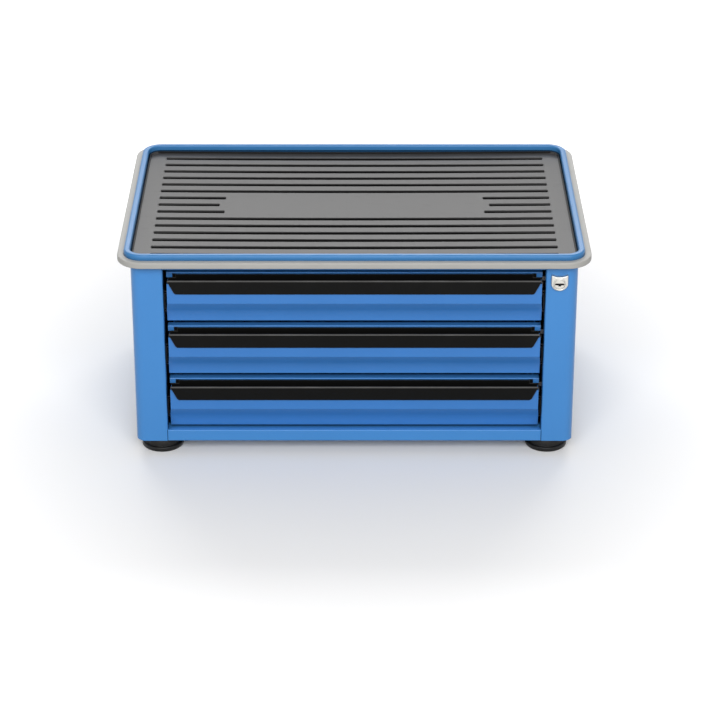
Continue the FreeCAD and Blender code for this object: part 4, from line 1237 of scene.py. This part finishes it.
@dataclass
class Lock(Assembly):
    """Shield-shaped lock face with its ring, and the turning plug with its key slot.

    Edges hold distance inward and depth behind the front, the ring radius and depth.
    """

    half_width: float = 12.7
    rise: float = 15.2
    side: float = -1.4
    drop: float = 11.4
    seat: float = 12.5
    hollow: float = 3.4
    horn: float = 1.0
    edge: Sequence[Flat] = ((0.0, 5.0), (0.0, 1.3), (0.15, 0.7), (0.5, 0.25), (1.2, 0.0))
    ring: Sequence[Flat] = (
        (10.2, 1.0), (10.0, 0.4), (9.6, 0.1), (9.2, 0.0), (8.8, 0.1), (8.4, 0.4), (8.06, 0.9)
    )
    segments: int = 48
    body_radius: float = 11.0
    plug: float = 8.0
    plug_sink: float = 0.6
    plug_edge: Sequence[Flat] = ((0.0, 0.5), (0.2, 0.15), (0.7, 0.0))
    slot: Flat = (6.9, 1.6)
    notch: Flat = (1.8, 3.4)
    slot_edge: float = 0.35
    slot_bevel: Flat = (0.1, 0.15)
    slot_depth: float = 9.0
    lining_wall: float = 0.5
    lining_inset: float = 0.4
    cross_depths: Flat = (4.0, 5.0)
    way_depth: float = 1.4
    way_start: float = 0.5
    way_gap: float = 0.1
    way_fit: float = 0.06

    def build(self) -> None:
        """Builds the face, the plug and the black lining of its slot, which paints the shade inside
        it.
        """
        low, high = millimetres("lock_barrel")
        self.centre = ((low.x + high.x) / 2, low.z + self.seat)
        self.front = low.y
        self.face(high.y)
        self.plug_front(low.y + self.plug_sink)
        self.key_way(low.y + self.plug_sink)

    def row(self, shell: Shell, outline: Sequence[Flat], y: float) -> Row:
        """Adds an outline round the lock's axis at a depth."""
        return shell.loop([(self.centre[0] + x, y, self.centre[1] + z) for x, z in outline])

    def rounds(self, shell: Shell, sizes: Sequence[Flat]) -> list[Row]:
        """Adds circles round the lock's axis, by radius and depth, joined one to the next."""
        steps = self.segments
        circle = arc_points((0.0, 0.0), 1.0, 0, 360 - 360 / steps, steps - 1)
        rows = [self.row(shell, [(x * r, z * r) for x, z in circle], y) for r, y in sizes]
        shell.tube(rows, closed=False)
        return rows

    @staticmethod
    def inset(outline: Sequence[Flat], amount: float) -> list[Flat]:
        """An outline drawn inward.

        Args:
            outline: Points in anticlockwise order.
            amount: Distance in millimetres.

        Returns:
            As many points.
        """
        moved = []
        for number, (x, z) in enumerate(outline):
            before, after = outline[number - 1], outline[(number + 1) % len(outline)]
            along = Vector((after[0] - before[0], after[1] - before[1])).normalized()
            moved.append((x - along.y * amount, z + along.x * amount))
        return moved

    def shield(self) -> list[Flat]:
        """The face's outline: straight sides, round foot and a hollow top between two horns."""
        fall = self.drop + self.side
        foot = (self.half_width**2 + fall**2) / (fall * 2)
        dish = (self.half_width**2 + self.hollow**2) / (self.hollow * 2)
        swing = math.degrees(math.asin(self.half_width / foot))
        lean = math.degrees(math.asin(self.half_width / dish))
        lower = arc_points((0.0, foot - self.drop), foot, -90 - swing, -90 + swing, 22)
        middle = (0.0, self.rise - self.hollow + dish)
        upper = arc_points(middle, dish, -90 + lean, -90 - lean, 12)[1:-1]
        corners = [(*point, 0.0) for point in lower]
        corners += [(self.half_width, self.rise, self.horn), *[(*point, 0.0) for point in upper]]
        return rounded_path([*corners, (-self.half_width, self.rise, self.horn)], 4)

    def face(self, rear: float) -> None:
        """Shield with a rounded edge, raised ring, bore, and the threaded body behind it.

        Args:
            rear: Place of the body's rear end.
        """
        shell = Shell("lock_face")
        level = self.front + self.ring[0][1]
        outline = self.shield()
        rim = [self.row(shell, self.inset(outline, step), level + y) for step, y in self.edge]
        shell.tube(rim, closed=False)
        rounds = [(radius, self.front + depth) for radius, depth in self.ring]
        rounds += [(self.ring[-1][0], rear), (self.body_radius, rear)]
        rounds += [(self.body_radius, level + self.edge[0][1])]
        rows = self.rounds(shell, rounds)
        shell.fill([rim[-1], rows[0]], ACROSS_Y)
        shell.fill([rim[0], rows[-1]], ACROSS_Y)
        self.settle(shell, Slot.LOCK, 35, "lock_barrel")

    def key_slot(self, grow: float) -> list[Flat]:
        """The key slot's outline with the notch below it, grown by an amount."""
        (long, high), (wide, deep) = self.slot, self.notch
        right = [(wide, -deep, 0.4), (wide, -high, 0.3), (long, -high, 0.9), (long, high, 0.9)]
        left = [(-x, z, radius) for x, z, radius in reversed(right)]
        return self.inset(rounded_path([*right, *left], 3), -grow)

    def plug_front(self, face: float) -> None:
        """The plug with a rounded rim and the slot sunk into it.

        Args:
            face: Place of the plug's face.
        """
        shell = Shell("lock_plug_turned")
        rim = [(self.plug, millimetres("lock_plug")[1].y)]
        rim += [(self.plug - inward, face + depth) for inward, depth in self.plug_edge]
        rows = self.rounds(shell, rim)
        shell.fill([rows[0]], ACROSS_Y)
        edge, depth = self.slot_edge, self.slot_depth
        steps = ((edge, 0.0), self.slot_bevel, (0.0, edge), (0.0, depth))
        sunk = [self.row(shell, self.key_slot(grow), face + y) for grow, y in steps]
        shell.tube(sunk, closed=False)
        shell.fill([sunk[-1]], ACROSS_Y)
        shell.fill([rows[-1], sunk[0]], ACROSS_Y)
        self.settle(shell, Slot.PLUG, 35, "lock_plug", body="lock_cylinder")

    def key_way(self, face: float) -> None:
        """Black lining and cross pieces inside the key slot: dark steel that paints the shade deep
        in the slot.

        Args:
            face: Place of the plug's face.
        """
        shell = Shell("key_slot_shade_lining")
        fit, lining_wall, end = self.way_fit, self.lining_wall, self.slot_depth - self.way_gap
        steps = ((lining_wall, self.way_depth), (lining_wall, end), (0.0, end), (0.0, self.way_start))
        rows = [self.row(shell, self.key_slot(-fit - inward), face + y) for inward, y in steps]
        shell.tube(rows)
        inside = self.key_slot(-fit - self.lining_inset)
        floor = [self.row(shell, inside, face + depth) for depth in self.cross_depths]
        shell.bridge(*floor)
        for row in floor:
            shell.fill([row], ACROSS_Y)
        self.settle(shell, Slot.SLIDE, 35, body="lock_cylinder")


@dataclass
class Feet(Assembly):
    """The four round rubber feet.

    Sole, waist and crown hold distance inward from the sole's edge, and height.
    """

    lip: float = 8.0
    lip_round: float = 1.6
    height: float = 24.0
    bolt: float = 4.1
    boss: float = 9.0
    chamfer: float = 0.6
    rings: Sequence[float] = (13.0, 18.0, 23.0)
    ring: Sequence[Flat] = ((0.0, 0.0), (0.5, 1.2), (1.5, 1.2), (2.0, 0.0))
    sole: Sequence[Flat] = ((2.6, 0.0), (1.2, 0.6), (0.3, 1.8))
    waist: Sequence[Flat] = ((3.2, 0.0), (4.0, 0.4), (4.3, 1.2))
    crown: Sequence[Flat] = ((11.0, -0.4), (11.6, 0.0))
    lean: float = 6.0
    lean_power: float = 1.6
    bulge: float = 0.64
    rises: int = 9
    places: Sequence[str] = ("front_left", "front_right", "rear_left", "rear_right")

    def build(self) -> None:
        """Builds all four."""
        for place in self.places:
            self.foot(place)

    def foot(self, place: str) -> None:
        """One foot: lipped sole with grip rings, waist, domed shoulder and bolt recess.

        Args:
            place: Which foot.
        """
        low, high = millimetres(f"foot_{place}")
        radius, seat = (high.x - low.x) / 2, high.z - low.z
        height, lip, boss, chamfer = self.height, self.lip, self.boss, self.chamfer
        profile = [
            (self.bolt, height / 2),
            (boss - chamfer, height / 2),
            (boss, height / 2 - chamfer),
            (boss, chamfer),
            (boss + chamfer, 0.0),
            *[(start + out, z) for start in self.rings for out, z in self.ring],
            *[(radius - inward, z) for inward, z in self.sole],
            *arc_points((radius - self.lip_round, lip - self.lip_round), self.lip_round, 0, 90, 5),
            *[(radius - inward, lip + z) for inward, z in self.waist],
        ]
        waist, start = radius - self.waist[-1][0], lip + self.waist[-1][1]
        for step in range(1, self.rises):
            share = step / self.rises
            swell = self.bulge * math.sin(math.pi * share) - self.lean * share**self.lean_power
            profile.append((waist + swell, start + (height - start) * share))
        profile += [(radius - inward, height + z) for inward, z in self.crown]
        profile += [(boss, height), (boss, seat), (self.bolt, seat)]
        shell = Shell(f"rubber_foot_{place}")
        shell.lathe(((low.x + high.x) / 2, (low.y + high.y) / 2, low.z), profile, 64)
        self.settle(shell, Slot.FOOT, 35, f"foot_{place}")


@dataclass
class SlideBalls(Assembly):
    """The two ball cages of each slide, which travel with its middle member."""

    ball: float = 1.45
    cage_steel: float = 0.6
    cage_share: float = 0.7
    spacing: float = 16.0
    first_ball: float = 6.0
    end_gap: float = 8.0
    outer: Flat = (287.4, 14.8)
    inner: Flat = (286.4, 10.8)
    inner_start: float = 4.0
    length: float = 180.0

    def build(self) -> None:
        """Builds both cages of every slide."""
        for number in DRAWERS:
            for side in Side:
                self.cages(f"{number}_{side.name.lower()}", side)

    def cages(self, name: str, side: Side) -> None:
        """The two cages of one slide.

        Args:
            name: The slide's number and side.
            side: The side of the chest.
        """
        low, high = millimetres(f"slide_middle_{name}")
        axis = (low.z + high.z) / 2
        middle, front = (low.y + high.y) / 2, low.y + self.inner_start
        spans = (("outer", self.outer, middle), ("inner", self.inner, front))
        for kind, (x, reach), start in spans:
            shell = Shell(f"ball_cage_{kind}_{name}")
            for z in (axis - reach, axis + reach):
                self.row(shell, side.value * x, z, start)
            self.settle(shell, Slot.SLIDE, 50, body=f"middle_{name}")

    def row(self, shell: Shell, x: float, z: float, start: float) -> None:
        """One row of balls and the strip that holds them apart.

        Args:
            shell: The cage's mesh.
            x: Place of the ball centres across the chest.
            z: Their height.
            start: Front end of the strip.
        """
        half, wide = self.cage_steel / 2, self.ball * self.cage_share
        shell.slab(oblong(start, z - half, start + self.length, z + half), x - wide, x + wide)
        size = {"u_segments": 12, "v_segments": 8, "radius": self.ball * MM}
        for number in range(int((self.length - self.end_gap) // self.spacing) + 1):
            place = Vector((x, start + self.first_ball + number * self.spacing, z)) * MM
            made = bmesh.ops.create_uvsphere(shell.mesh, **size)
            bmesh.ops.translate(shell.mesh, verts=made["verts"], vec=place)


@dataclass
class Studio:
    """Camera, plain pale floor and soft light.

    Each lamp has its name, place, target and size in metres, and its power in watts.
    """

    image: int = 720
    sensor: float = 36.0
    focal_pixels: float = 2532.85
    optical_column: float = 355.268
    optical_row: float = 260.514
    eye: Point = (0.0014, -3.7067, 1.9523)
    pitch: float = 24.839
    clip_end: float = 100.0
    floor_half: float = 14.0
    dome: float = 0.34
    floor_bounce: Point = (0.42, 0.42, 0.42)
    floor_white: Point = (0.925, 0.92, 0.915)
    far_glow: float = 0.30
    far_from: float = 0.3
    far_to: float = 1.3
    lamps: Sequence[tuple[str, Point, Point, Flat, float]] = (
        ("overhead_softbox", (0.0, -0.2, 3.0), (0.0, 0.0, 0.2), (3.0, 2.2), 4.0),
        ("front_softbox", (0.0, -4.1, 2.75), (0.0, -0.2, 0.2), (4.8, 2.2), 196.0),
        ("rear_softbox", (0.0, 3.2, 2.8), (0.0, 0.0, 0.2), (4.4, 1.8), 118.0),
    )

    def build(self) -> None:
        """Sets up all of it."""
        self.camera()
        self.world()
        self.floor()
        for lamp in self.lamps:
            self.lamp(*lamp)

    def camera(self) -> None:
        """The camera at the photograph's angle."""
        data = bpy.data.cameras.new("photo_camera")
        data.sensor_width = self.sensor
        data.lens = self.focal_pixels * self.sensor / self.image
        data.shift_x = 0.5 - self.optical_column / self.image
        data.shift_y = self.optical_row / self.image - 0.5
        data.clip_end = self.clip_end
        view = add("photo_camera", data)
        view.location = self.eye
        view.rotation_euler = (math.radians(90 - self.pitch), 0.0, 0.0)
        bpy.context.scene.camera = view

    def world(self) -> None:
        """A white surround, dimmer for the light that it sheds than for what is seen of it."""
        world = bpy.data.worlds.new("studio_dome")
        bpy.context.scene.world = world
        graph = Graph(world)
        strength = self.seen(graph) * (1.0 - self.dome) + self.dome
        sky = graph.node("ShaderNodeBackground", None, {"Color": WHITE, "Strength": strength})
        graph.node("ShaderNodeOutputWorld", None, {"Surface": sky})

    @staticmethod
    def seen(graph: Graph) -> Wire:
        """1 for camera, mirror and glass rays, 0 for the light that lies on things."""
        kinds = ("Camera", "Glossy", "Transmission")
        rays = [graph.node("ShaderNodeLightPath", output=f"Is {kind} Ray") for kind in kinds]
        return (rays[0] + rays[1] + rays[2]).between(0.0, 1.0)

    def floor(self) -> None:
        """The pale floor, which keeps the chest's shadow and glows only away from it."""
        shell = Shell("studio_floor")
        half = self.floor_half / MM
        shell.face(shell.loop([(x, y, 0) for x, y in oblong(-half, -half, half, half)]))
        material = bpy.data.materials.new("studio_white")
        graph = Graph(material)
        bounce = graph.node("ShaderNodeBsdfDiffuse", None, {"Color": self.floor_bounce})
        pale = graph.node("ShaderNodeBsdfDiffuse", None, {"Color": self.floor_white})
        length = {"operation": "LENGTH"}
        distance = graph.node("ShaderNodeVectorMath", length, {0: graph.place()}, "Value")
        strength = distance.between(self.far_from, self.far_to) * self.far_glow
        glow = graph.node("ShaderNodeEmission", None, {"Color": WHITE, "Strength": strength})
        lit = graph.node("ShaderNodeAddShader", None, {0: pale, 1: glow})
        mixed = graph.node("ShaderNodeMixShader", None, {0: self.seen(graph), 1: bounce, 2: lit})
        graph.node("ShaderNodeOutputMaterial", None, {"Surface": mixed})
        shell.finish(material)

    @staticmethod
    def lamp(name: str, place: Point, target: Point, size: Flat, power: float) -> None:
        """One soft area lamp.

        Args:
            name: Its name.
            place: Where it hangs, in metres.
            target: The point it faces.
            size: Its width and height in metres.
            power: Its power in watts.
        """
        data = bpy.data.lights.new(name, "AREA")
        data.shape = "RECTANGLE"
        data.size, data.size_y = size
        data.energy = power
        lamp = add(name, data)
        lamp.location = place
        aim = Vector(target) - Vector(place)
        lamp.rotation_euler = aim.to_track_quat("-Z", "Y").to_euler()


def main() -> None:
    """Builds the looks in order and reports each piece."""
    logging.basicConfig(level=logging.INFO, format="%(name)s: %(message)s")
    bpy.context.scene.view_settings.view_transform = "Standard"
    Studio().build()
    paints = Paintbox()
    log.info("%d nodes dressed", paints.dress_nodes())
    TrayTop(paints).build()
    for number in DRAWERS:
        Drawer(paints, number).build()
    Lock(paints).build()
    Feet(paints).build()
    SlideBalls(paints).build()


if __name__ == "__main__":
    main()
